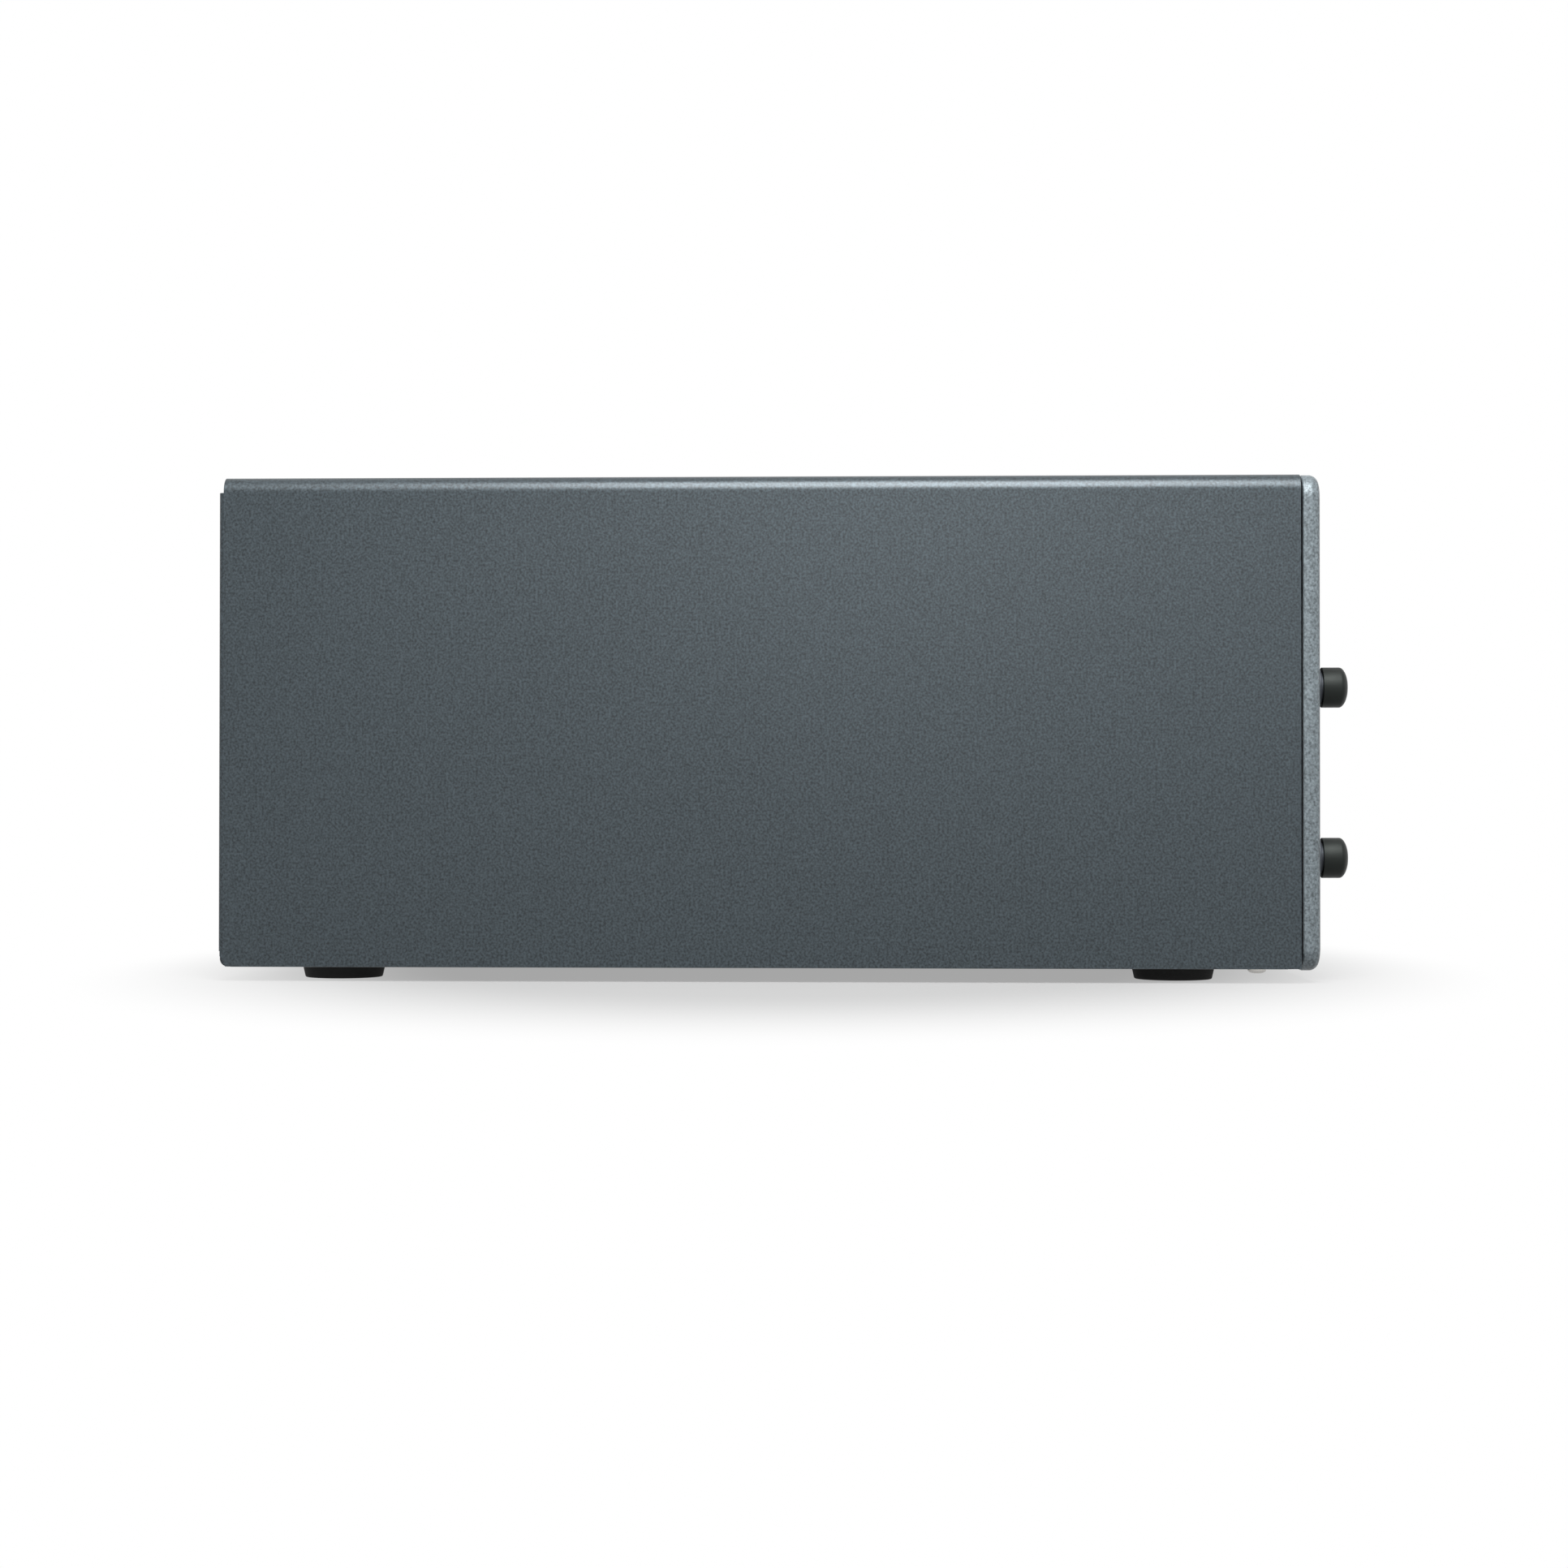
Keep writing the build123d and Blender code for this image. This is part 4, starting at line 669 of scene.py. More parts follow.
class Stock:
    """The mesh of one piece while it is made, in millimetres in the CAD frame."""

    def __init__(self, name: str, paint: Paint) -> None:
        """Starts an empty mesh.

        Args:
            name: the piece's name.
            paint: the finish of what is made first.
        """
        self.name = name
        self.mesh = bmesh.new()
        self.paints = [paint]
        self.current = 0

    def use(self, paint: Paint) -> "Stock":
        """Gives what is made from now on another finish."""
        if paint not in self.paints:
            self.paints.append(paint)
        self.current = self.paints.index(paint)
        return self

    def _face(self, vertices: Sequence[bmesh.types.BMVert]) -> None:
        """Adds one face in the current finish."""
        self.mesh.faces.new(vertices).material_index = self.current

    def _wall(self, one: list[bmesh.types.BMVert], two: list[bmesh.types.BMVert]) -> None:
        """Joins two loops, of which either may be a single point."""
        count = max(len(one), len(two))
        for index in range(count):
            after = (index + 1) % count
            if len(one) == 1:
                self._face((one[0], two[index], two[after]))
            elif len(two) == 1:
                self._face((one[index], one[after], two[0]))
            else:
                self._face((one[index], one[after], two[after], two[index]))

    def _cap(self, loops: list[list[bmesh.types.BMVert]]) -> None:
        """Closes a loop, leaving the holes that the other loops make."""
        if len(loops) == 1:
            self._face(loops[0])
            return
        edges = []
        for loop in loops:
            for index, vertex in enumerate(loop):
                edges.append(self.mesh.edges.get((vertex, loop[(index + 1) % len(loop)])))
        made = bmesh.ops.triangle_fill(self.mesh, use_beauty=True, edges=edges)
        for item in made["geom"]:
            if isinstance(item, bmesh.types.BMFace):
                item.material_index = self.current

    def plate(
        self,
        facing: Facing,
        outline: Outline,
        sections: Iterable[Section],
        holes: Sequence[Outline] = (),
    ) -> "Stock":
        """Makes a plate with shaped edges and holes.

        Args:
            facing: which way it lies.
            outline: its outer shape.
            sections: place along the thickness, inset of the outline, growth of the holes.
            holes: shapes of its holes.

        Returns:
            This stock.
        """
        rings = []
        for along, inset, flare in sections:
            shapes = [outline.points(-inset), *(hole.points(flare) for hole in holes)]
            rings.append([
                [self.mesh.verts.new(facing.point(u, v, along)) for u, v in shape]
                for shape in shapes
            ])
        for one, two in zip(rings, rings[1:]):
            for near, far in zip(one, two):
                self._wall(near, far)
        self._cap(rings[0])
        self._cap(rings[-1])
        return self

    def slab(
        self,
        facing: Facing,
        outline: Outline,
        near: float,
        far: float,
        edge: float = 0.3,
        holes: Sequence[Outline] = (),
    ) -> "Stock":
        """Makes a plate with small chamfers on all its edges.

        Args:
            facing: which way it lies.
            outline: its outer shape.
            near: the place of one face.
            far: the place of the other.
            edge: the chamfer.
            holes: shapes of its holes.

        Returns:
            This stock.
        """
        sections = [
            (near, edge, edge), (near + edge * 0.35, edge * 0.35, edge * 0.35), (near + edge, 0, 0),
            (far - edge, 0, 0), (far - edge * 0.35, edge * 0.35, edge * 0.35), (far, edge, edge),
        ]
        return self.plate(facing, outline, sections, holes)

    def turned(
        self,
        facing: Facing,
        centre: Point,
        profile: Sequence[Point],
        sides: int = 64,
        ring: bool = False,
    ) -> "Stock":
        """Turns a profile about an axis.

        Args:
            facing: the axis is the one that a plate facing this way is thick along.
            centre: where the axis is.
            profile: place along the axis and radius.
            sides: how many facets it has round.
            ring: True if the profile closes on itself.

        Returns:
            This stock.
        """
        loops = self._rows([
            [facing.point(u, v, along) for u, v in circle(centre, radius, sides if radius else 1)]
            for along, radius in profile
        ])
        if ring:
            self._wall(loops[-1], loops[0])
            return self
        for loop in (loops[0], loops[-1]):
            if len(loop) > 1:
                self._face(loop)
        return self

    def rod(
        self,
        facing: Facing,
        centre: Point,
        ends: Point,
        radii: Point,
        sides: int,
    ) -> "Stock":
        """Makes a plain or tapered rod with flat ends.

        Args:
            facing: the axis is the one that a plate facing this way is thick along.
            centre: where the axis is.
            ends: the places of its two ends.
            radii: its radius at each end.
            sides: how many facets it has round.

        Returns:
            This stock.
        """
        profile = [(ends[0], 0.0), *zip(ends, radii), (ends[1], 0.0)]
        return self.turned(facing, centre, profile, sides)

    def thread(
        self, centre: Point, near: float, far: float, radius: float, pitch: float = 0.7
    ) -> "Stock":
        """Cuts a screw thread on a shank that lies along the depth.

        Args:
            centre: where the shank's axis is.
            near: the depth at which it starts.
            far: the depth at which it ends.
            radius: its outer radius.
            pitch: the distance between turns.

        Returns:
            This stock.
        """
        sides, depth = 24, pitch * 0.55
        rows = int((far - near) / pitch * 8) + 1
        rings = []
        for row in range(rows + 1):
            along = near + (far - near) * row / rows
            ring = []
            for side in range(sides):
                phase = ((along - near) / pitch - side / sides) % 1.0
                cut = radius - depth * (1 - abs(2 * phase - 1))
                angle = 2 * math.pi * side / sides
                across = centre[0] + cut * math.cos(angle)
                up = centre[1] + cut * math.sin(angle)
                ring.append(Facing.FRONT.point(across, up, along))
            rings.append(ring)
        return self.loft(rings)

    def _rows(self, rings: Sequence[Sequence[Vector]]) -> list[list[bmesh.types.BMVert]]:
        """Adds rings of points, and the walls from each to the next."""
        loops = [[self.mesh.verts.new(point) for point in ring] for ring in rings]
        for one, two in zip(loops, loops[1:]):
            self._wall(one, two)
        return loops

    def loft(self, rings: Sequence[Sequence[Vector]], ring: bool = False) -> "Stock":
        """Joins rings of points into a closed body.

        Args:
            rings: the rings, in order.
            ring: True if the last one joins the first.

        Returns:
            This stock.
        """
        loops = self._rows(rings)
        if ring:
            self._wall(loops[-1], loops[0])
            return self
        self._face(loops[0])
        self._face(loops[-1])
        return self

    def sleeve(self, rings: Sequence[Sequence[Vector]]) -> "Stock":
        """Joins rings of a thin section, and closes its two ends with strips."""
        loops = self._rows(rings)
        for loop in (loops[0], loops[-1]):
            last = len(loop) - 1
            for index in range(len(loop) // 2 - 1):
                near, far = index + 1, last - index
                self._face((loop[index], loop[near], loop[far - 1], loop[far]))
        return self

    def piece(
        self,
        body: str,
        replaces: Sequence[str] = (),
        edge: float = 0.0,
        smooth: float = 32.0,
    ) -> bpy.types.Object:
        """Finishes the mesh and fastens it to its body.

        Args:
            body: the CAD body that it rides on.
            replaces: the CAD nodes that it stands for.
            edge: width of a bevel on its sharp edges, in millimetres.
            smooth: edges sharper than this many degrees stay sharp.

        Returns:
            The object.
        """
        bmesh.ops.recalc_face_normals(self.mesh, faces=self.mesh.faces)
        mesh = bpy.data.meshes.new(self.name)
        self.mesh.to_mesh(mesh)
        self.mesh.free()
        mesh.transform(Matrix.Scale(0.001, 4))
        mesh.shade_smooth()
        mesh.set_sharp_from_angle(angle=math.radians(smooth))
        for paint in self.paints:
            mesh.materials.append(paint.material())
        made = bpy.data.objects.new(self.name, mesh)
        bpy.context.scene.collection.objects.link(made)
        if edge:
            bevel = made.modifiers.new("eased_edges", "BEVEL")
            bevel.width = edge / 1000.0
            bevel.segments = 2
            bevel.limit_method = "ANGLE"
            bevel.angle_limit = math.radians(40)
            bevel.harden_normals = True
        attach(made, body)
        if replaces:
            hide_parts(*replaces)
        LOG.info("%s rides on %s with %d faces", self.name, body, len(mesh.polygons))
        return made


def screw_head(
    stock: Stock, facing: Facing, centre: Point, seat: float, top: float, radius: float
) -> None:
    """Adds a domed screw head with a cross recess.

    Args:
        stock: what it is added to.
        facing: the screw's axis is the one that a plate facing this way is thick along.
        centre: where the axis is.
        seat: the place of its flat underside.
        top: the place of its crown.
        radius: its radius.
    """
    rise = top - seat
    sections = [(seat + rise * share, radius * inset, 0.0) for share, inset in (
        (0.0, 0.0), (0.30, 0.0), (0.62, 0.08), (0.85, 0.24), (0.96, 0.42))]
    sections.append((top, radius * 0.46, 0.03))
    recess = CrossRecess(*centre, radius * 0.44, radius * 0.20)
    stock.plate(facing, Disc(*centre, radius), sections, [recess])
    stock.rod(facing, centre, (seat, seat + rise * 0.35), (radius * 0.6, radius * 0.6), 24)


# The enclosure


@dataclass
class Enclosure:
    """The cover, the front bezel, the feet and the back."""

    body: str = "enclosure"
    sheet: float = 1.2
    fold: float = 4.8
    rear_fold: float = 1.4
    flange: float = 18.0
    screw_rise: float = 44.0
    corner_cut: Point = (1.7, 3.1)
    flange_rise: float = 4.5
    bezel_corner: float = 7.2
    bezel_edge: float = 2.8
    fold_steps: int = 14
    vent_slots: int = 23
    vent_pitch: float = 8.0
    vent_slot: float = 5.0
    foot_radius: float = 12.5
    screw_head: Point = (1.3, 2.75)
    front_screw_x: float = 98.0
    front_screw_setback: float = 17.8
    supply_screw_x: float = 30.0
    fan_screw: float = 25.0

    def build(self) -> None:
        """Makes every visible piece of the enclosure."""
        self.cover()
        self.rear_flanges()
        self.front_plate()
        self.power_light()
        self.vent()
        self.feet()
        self.screws()
        self.inlet()
        self.fan_frames()
        self.rear_screws()

    def _fold_profile(self, inward: float) -> list[tuple[float, float]]:
        """Gives the cover's section, moved inward by an amount."""
        low, high = corners("cover")
        half, top = high.x - inward, high.z - inward
        radius = self.fold - inward
        cut_top = low.z + self.corner_cut[1]
        step_top = low.z + self.flange_rise
        left = [(-half, low.z), (-half, cut_top), (-half, step_top), (-half, step_top + 0.02)]
        for step in range(self.fold_steps + 1):
            angle = math.pi / 2 * step / self.fold_steps
            across = -half + radius - radius * math.cos(angle)
            left.append((across, top - radius + radius * math.sin(angle)))
        return left + [(-across, up) for across, up in reversed(left)]

    def cover(self) -> None:
        """Makes the folded sheet, with the corners cut away at the rear."""
        low, high = corners("cover")
        bend = high.y - self.rear_fold
        cut = high.y - self.corner_cut[0] - 0.5
        ends = [cut, high.y - 0.5, high.y - 0.5, bend]
        outer, inner = self._fold_profile(0.0), self._fold_profile(self.sheet)
        section = outer + list(reversed(inner))
        half_count = len(outer)
        rear = []
        for index in range(len(section)):
            place = index if index < half_count else len(section) - 1 - index
            place = min(place, half_count - 1 - place)
            rear.append(ends[place] if place < len(ends) else bend)
        stock = Stock("cover_sheet", Paint.CASE)
        front = low.y
        rings = []
        for along, inset in ((front, 0.15), (front + 0.15, 0.0)):
            rings.append([Vector((x * (1 - inset / 106), along, z)) for x, z in section])
        rings.append([Vector((x, y, z)) for (x, z), y in zip(section, rear)])
        stock.sleeve(rings)
        stock.piece(self.body, ["cover"], smooth=25.0)

    def rear_flanges(self) -> None:
        """Makes the edges of the cover that fold inward at the back."""
        low, high = corners("cover")
        bottom, top = low.z + self.flange_rise + 0.02, high.z - self.fold
        stock = Stock("cover_flanges", Paint.CASE)
        for side in (-1, 1):
            outer = []
            for step in range(7):
                angle = math.pi / 2 * step / 6
                outer.append((
                    side * (high.x - self.rear_fold + self.rear_fold * math.cos(angle)),
                    high.y - self.rear_fold + self.rear_fold * math.sin(angle),
                ))
            outer.append((side * (high.x - self.flange), high.y))
            outer.append((side * (high.x - self.flange), high.y - self.sheet))
            outer.append((side * (high.x - self.sheet), high.y - self.sheet))
            outer.append((side * (high.x - self.sheet), high.y - self.rear_fold))
            stock.plate(Facing.TOP, Drawn(tuple(outer)), [(bottom, 0, 0), (top, 0, 0)])
        stock.piece(self.body, smooth=25.0)

    def front_plate(self) -> None:
        """Makes the thick front bezel with its rounded edge, windows and air opening."""
        low, high = corners("front_bezel")
        plates = [corners(f"{level}_sled_front") for level in LEVELS]
        holes: list[Outline] = []
        for near, far in plates:
            width, height = far.x - near.x + 0.8, far.z - near.z + 0.8
            holes.append(Rounded(0.0, (near.z + far.z) / 2, width, height, 0.8))
        light_low, light_high = corners("power_light")
        light = (light_low + light_high) / 2
        mesh_low, mesh_high = corners("vent_mesh")
        vent_height = mesh_high.z - mesh_low.z - 5.0
        vent_width = mesh_high.x - mesh_low.x - 5.0
        holes.append(Rounded(0.0, light.z, vent_width, vent_height, 2.4))
        holes.append(Disc(light.x, light.z, 1.55, 32))
        hole_edge = 0.25
        sections = [
            (along, inset, max(hole_edge - (along - low.y), 0.0))
            for along, inset in eased(low.y, self.bezel_edge, 9)
        ]
        sections += [(high.y - 0.3, 0.0, 0.0), (high.y, 0.3, 0.2)]
        middle = (low.z + high.z) / 2
        outline = Rounded(0.0, middle, high.x - low.x, high.z - low.z, self.bezel_corner, 14)
        stock = Stock("front_plate", Paint.BEZEL)
        stock.plate(Facing.FRONT, outline, sections, holes)
        stock.piece(self.body, ["front_bezel"])

    def power_light(self) -> None:
        """Makes the light pipe with its domed tip and the flange behind the bezel."""
        low, high = corners("power_light")
        centre = ((low.x + high.x) / 2, (low.z + high.z) / 2)
        back = high.y - 1.0
        profile = [
            (low.y, 0.0), (low.y + 0.05, 0.7), (low.y + 0.25, 1.2), (low.y + 0.6, 1.48),
            (back, 1.48), (back, 2.9), (high.y, 2.9), (high.y, 0.0),
        ]
        stock = Stock("light_pipe", Paint.LENS)
        stock.turned(Facing.FRONT, centre, profile, 32)
        stock.piece(self.body, ["power_light"])

    def vent(self) -> None:
        """Makes the slotted sheet behind the air opening."""
        low, high = corners("vent_mesh")
        height = (low.z + high.z) / 2
        middle, slot_height = (self.vent_slots - 1) / 2, high.z - low.z - 5.0
        holes = [
            Rounded((index - middle) * self.vent_pitch, height, self.vent_slot, slot_height, 2.2)
            for index in range(self.vent_slots)
        ]
        stock = Stock("vent_sheet", Paint.MESH)
        outline = Rounded(0.0, height, high.x - low.x, high.z - low.z, 1.0)
        stock.slab(Facing.FRONT, outline, low.y, high.y, 0.12, holes)
        stock.piece(self.body, ["vent_mesh"])

    def feet(self) -> None:
        """Makes the tapered rubber feet, each hollow below with its screw in a washer."""
        low, high = corners("rubber_feet")
        radius = self.foot_radius
        stock = Stock("tapered_feet", Paint.FOOT)
        screws = Stock("foot_screws", Paint.SCREW)
        for x in (low.x + radius, high.x - radius):
            for y in (low.y + radius, high.y - radius):
                profile = [
                    (high.z, 0.0), (high.z, 12.3), (high.z - 0.2, 12.5), (high.z - 3.5, 11.75),
                    (high.z - 3.85, 11.6), (high.z - 3.97, 11.35), (high.z - 4.0, 11.0),
                    (high.z - 4.0, 8.4), (high.z - 3.8, 8.1), (high.z - 2.4, 7.9), (high.z - 2.4, 0.0),
                ]
                stock.turned(Facing.TOP, (x, y), profile, 72)
                screws.rod(Facing.TOP, (x, y), (high.z - 2.3, high.z - 2.7), (5.0, 5.0), 40)
                screw_head(screws, Facing.TOP, (x, y), high.z - 2.6, high.z - 3.7, 3.0)
        stock.piece(self.body, ["rubber_feet"])
        screws.piece(self.body)

    def screws(self) -> None:
        """Makes the case screws under the pan and on the rear flanges."""
        seat = corners("bottom_pan")[0].z
        supply_low, supply_high = corners("power_supply")
        cover_low, cover_high = corners("cover")
        front_y = corners("front_bezel")[0].y + self.front_screw_setback
        supply_x = (supply_low.x + supply_high.x) / 2
        supply_y = (supply_low.y + supply_high.y) / 2
        places = [(side * self.front_screw_x, front_y) for side in (-1, 1)]
        places += [(supply_x + side * self.supply_screw_x, supply_y) for side in (-1, 1)]
        stock = Stock("case_screw_heads", Paint.SCREW)
        rise, radius = self.screw_head
        for place in places:
            screw_head(stock, Facing.TOP, place, seat, seat - rise, radius)
            stock.rod(Facing.TOP, place, (seat + 0.1, seat + 4.0), (1.5, 1.3), 24)
        bottom = cover_low.z + self.flange_rise + self.screw_rise
        top = cover_high.z - self.fold - self.screw_rise
        for side in (-1, 1):
            for up in (bottom, top):
                place = (side * (cover_high.x - self.flange / 2), up)
                screw_head(stock, Facing.FRONT, place, cover_high.y, cover_high.y + rise, radius)
        stock.piece(self.body, ["case_screws"])

    def inlet(self) -> None:
        """Makes the mains inlet: its flange, the socket with three pins and the bay of the switch."""
        low, high = corners("power_inlet")
        centre_x, centre_z = (low.x + high.x) / 2, (low.z + high.z) / 2
        pivot = hinge("power_rocker_tilt")
        flange_front = high.y - 2.5
        cavity_z, floor = centre_z - 11.5, high.y - 16.0
        half_width, half_height, cut = 12.0, 8.2, 4.0
        cavity = Drawn((
            (centre_x - half_width, cavity_z - half_height),
            (centre_x + half_width, cavity_z - half_height),
            (centre_x + half_width, cavity_z + half_height - cut),
            (centre_x + half_width - cut, cavity_z + half_height),
            (centre_x - half_width + cut, cavity_z + half_height),
            (centre_x - half_width, cavity_z + half_height - cut),
        ))
        bay = Rounded(centre_x, pivot.z, 13.8, 20.0, 0.5)
        stock = Stock("inlet_moulding", Paint.SOCKET)
        flange = Rounded(centre_x, centre_z, high.x - low.x, high.z - low.z, 2.4)
        stock.slab(Facing.FRONT, flange, flange_front, high.y, 0.35, [cavity, bay])
        inner = Rounded(centre_x, centre_z, 27.0, 54.0, 1.0)
        stock.slab(Facing.FRONT, inner, floor, flange_front + 0.01, 0.01, [cavity, bay])
        stock.slab(Facing.FRONT, inner, low.y, floor + 0.01, 0.3)
        bay_floor = Rounded(centre_x, pivot.z, 14.2, 20.4, 0.5)
        stock.slab(Facing.FRONT, bay_floor, floor, high.y - 14.0, 0.1)
        stock.use(Paint.PORT)
        for across, up in ((-7.0, 0.0), (0.0, 4.0), (7.0, 0.0)):
            pin = Rounded(centre_x + across, cavity_z + up, 2.0, 4.0, 0.4)
            sections = [(floor, 0, 0), (floor + 12.2, 0, 0), (floor + 12.7, 0.2, 0), (floor + 13.0, 0.5, 0)]
            stock.plate(Facing.FRONT, pin, sections)
        stock.piece(self.body, ["power_inlet"])

    def fan_frames(self) -> None:
        """Makes the fan frames: round bores, corner holes, motor bases and struts."""
        low, high = corners("fan_frames")
        size = high.z - low.z
        stock = Stock("fan_housings", Paint.BLACK)
        for side in SIDES:
            axis = hinge(f"{side}_fan_spin")
            x, z = axis.x, axis.z
            holes: list[Outline] = [Disc(x, z, size / 2 - 1.5, 72)]
            holes += [Disc(*place, 2.1, 20) for place in self._fan_screws(side)]
            stock.slab(Facing.FRONT, Rounded(x, z, size, size, 4.0), low.y, high.y, 0.4, holes)
            base = [(low.y, 0.0), (low.y, 13.6), (low.y + 0.4, 14.0), (low.y + 2.0, 14.0), (low.y + 2.0, 0.0)]
            stock.turned(Facing.FRONT, (x, z), base, 48)
            stock.rod(Facing.FRONT, (x, z), (low.y + 1.9, low.y + 10.0), (1.45, 1.45), 20)
            for strut in range(3):
                turn = math.pi / 2 + 2 * math.pi / 3 * strut
                along = Vector((math.cos(turn), math.sin(turn)))
                across = Vector((-math.sin(turn), math.cos(turn)))
                shape = []
                for reach, width in ((12.0, -1.8), (29.0, -1.3), (29.0, 1.3), (12.0, 1.8)):
                    spot = along * reach + across * width
                    shape.append((x + spot.x, z + spot.y))
                stock.plate(Facing.FRONT, Drawn(tuple(shape)), [(low.y, 0, 0), (low.y + 2.0, 0, 0)])
        stock.piece(self.body, ["fan_frames"], smooth=28.0)

    def rear_screws(self) -> None:
        """Makes the screws that hold the fans to the rear panel."""
        back = corners("rear_panel")[1].y
        stock = Stock("fan_screws", Paint.BLACK_OXIDE)
        for side in SIDES:
            for place in self._fan_screws(side):
                screw_head(stock, Facing.FRONT, place, back, back + 1.1, 3.0)
        stock.piece(self.body)

    def _fan_screws(self, side: str) -> list[Point]:
        """Gives the places of one fan's four screws."""
        axis, reach = hinge(f"{side}_fan_spin"), self.fan_screw
        return [(axis.x + u * reach, axis.z + v * reach) for u in (-1, 1) for v in (-1, 1)]


@dataclass
class PowerSwitch:
    """The rocker of the power switch."""

    tilt: float = 6.0
    width: float = 13.0
    half_height: float = 9.0
    reach: float = 6.0
    dish: float = 1.2
    root: float = 2.0

    def build(self) -> None:
        """Makes the rocker with its dished face, pivots and the two position marks."""
        pivot = hinge("power_rocker_tilt")
        angle = math.radians(self.tilt)
        outward = Vector((0.0, math.cos(angle), -math.sin(angle)))
        upward = Vector((0.0, math.sin(angle), math.cos(angle)))

        def skin(up: float) -> float:
            """How far out the dished face is at a height."""
            return self.reach - self.dish * (1 - (up / self.half_height) ** 2)

        def spot(across: float, out: float, up: float) -> Vector:
            """Puts a point of the tilted rocker into the CAD frame."""
            return pivot + Vector((across, 0.0, 0.0)) + outward * out + upward * up

        section = []
        for step in range(13):
            up = self.half_height * (step / 6 - 1)
            section.append((skin(up), up))
        section += [(-self.root, self.half_height), (-self.root, -self.half_height)]
        stock = Stock("rocker_cap", Paint.SOCKET)
        half = self.width / 2
        stock.loft([[spot(x, out, up) for out, up in section] for x in (-half, half)])
        pins = (pivot.x - half - 1.2, pivot.x + half + 1.2)
        stock.rod(Facing.SIDE, (pivot.y, pivot.z), pins, (0.98, 0.98), 20)
        stock.piece("power_rocker", ["power_rocker"], edge=0.35)
        marks = Stock("rocker_marks", Paint.MARK)
        bar = ((-0.35, 3.6), (0.35, 3.6), (0.35, 6.4), (-0.35, 6.4))
        marks.loft([[spot(x, skin(up) + lift, up) for x, up in bar] for lift in (-0.1, 0.03)])
        marks.loft([
            [spot(x, skin(up) + lift, up) for x, up in circle((0.0, -5.0), radius, 28)]
            for radius, lift in ((1.2, -0.1), (1.2, 0.03), (1.7, 0.03), (1.7, -0.1))
        ], ring=True)
        marks.piece("power_rocker")


@dataclass
class FanRotor:
    """One cooling fan's rotor."""

    side: str
    blades: int = 7
    hub: float = 13.0
    tip: float = 27.4
    hub_pitch: float = 42.0
    untwist: float = 14.0
    hub_chord: float = 10.5
    widening: float = 4.5
    sweep: float = 0.35

    def build(self) -> None:
        """Makes the hub cap and the swept, twisted blades."""
        node = f"{self.side}_fan_rotor"
        low, high = corners(node)
        axis = hinge(f"{self.side}_fan_spin")
        x, z = axis.x, axis.z
        stock = Stock(f"{self.side}_fan_wheel", Paint.BLACK)
        cap = [
            (low.y, 0.0), (low.y, 12.4), (low.y + 0.5, self.hub), (high.y - 1.2, self.hub),
            (high.y - 0.4, 12.5), (high.y, 11.4), (high.y, 6.0), (high.y - 0.3, 5.6), (high.y - 0.3, 0.0),
        ]
        stock.turned(Facing.FRONT, (x, z), cap, 48)
        middle = (low.y + high.y) / 2
        for blade in range(self.blades):
            start = 2 * math.pi * blade / self.blades
            stock.loft([self._section(x, z, middle, start, step / 7) for step in range(8)])
        stock.piece(node, [node], smooth=40.0)

    def _section(self, x: float, z: float, middle: float, start: float, share: float) -> list[Vector]:
        """Gives one ring of a blade.

        Args:
            x: the axis's place across.
            z: the axis's height.
            middle: the depth of the rotor's middle.
            start: the blade's angle at the hub.
            share: 0 at the hub, 1 at the tip.

        Returns:
            The ring's points.
        """
        radius = self.hub - 0.4 + (self.tip - self.hub + 0.4) * share
        pitch = math.radians(self.hub_pitch - self.untwist * share)
        chord = self.hub_chord + self.widening * share
        sweep = start + self.sweep * share
        upper, lower = [], []
        for step in range(7):
            run = step / 6 - 0.5
            camber = 1.3 * (1 - (2 * run) ** 2)
            thick = 0.25 + 0.45 * (1 - (2 * run) ** 2)
            for line, offset in ((upper, thick), (lower, -thick)):
                around = run * chord * math.cos(pitch) + (camber + offset) * math.sin(pitch)
                depth = run * chord * math.sin(pitch) - (camber + offset) * math.cos(pitch)
                turn = sweep + around / radius
                line.append(Vector((
                    x + radius * math.cos(turn), middle + depth, z + radius * math.sin(turn)
                )))
        return upper + list(reversed(lower))


# The drives on their sleds


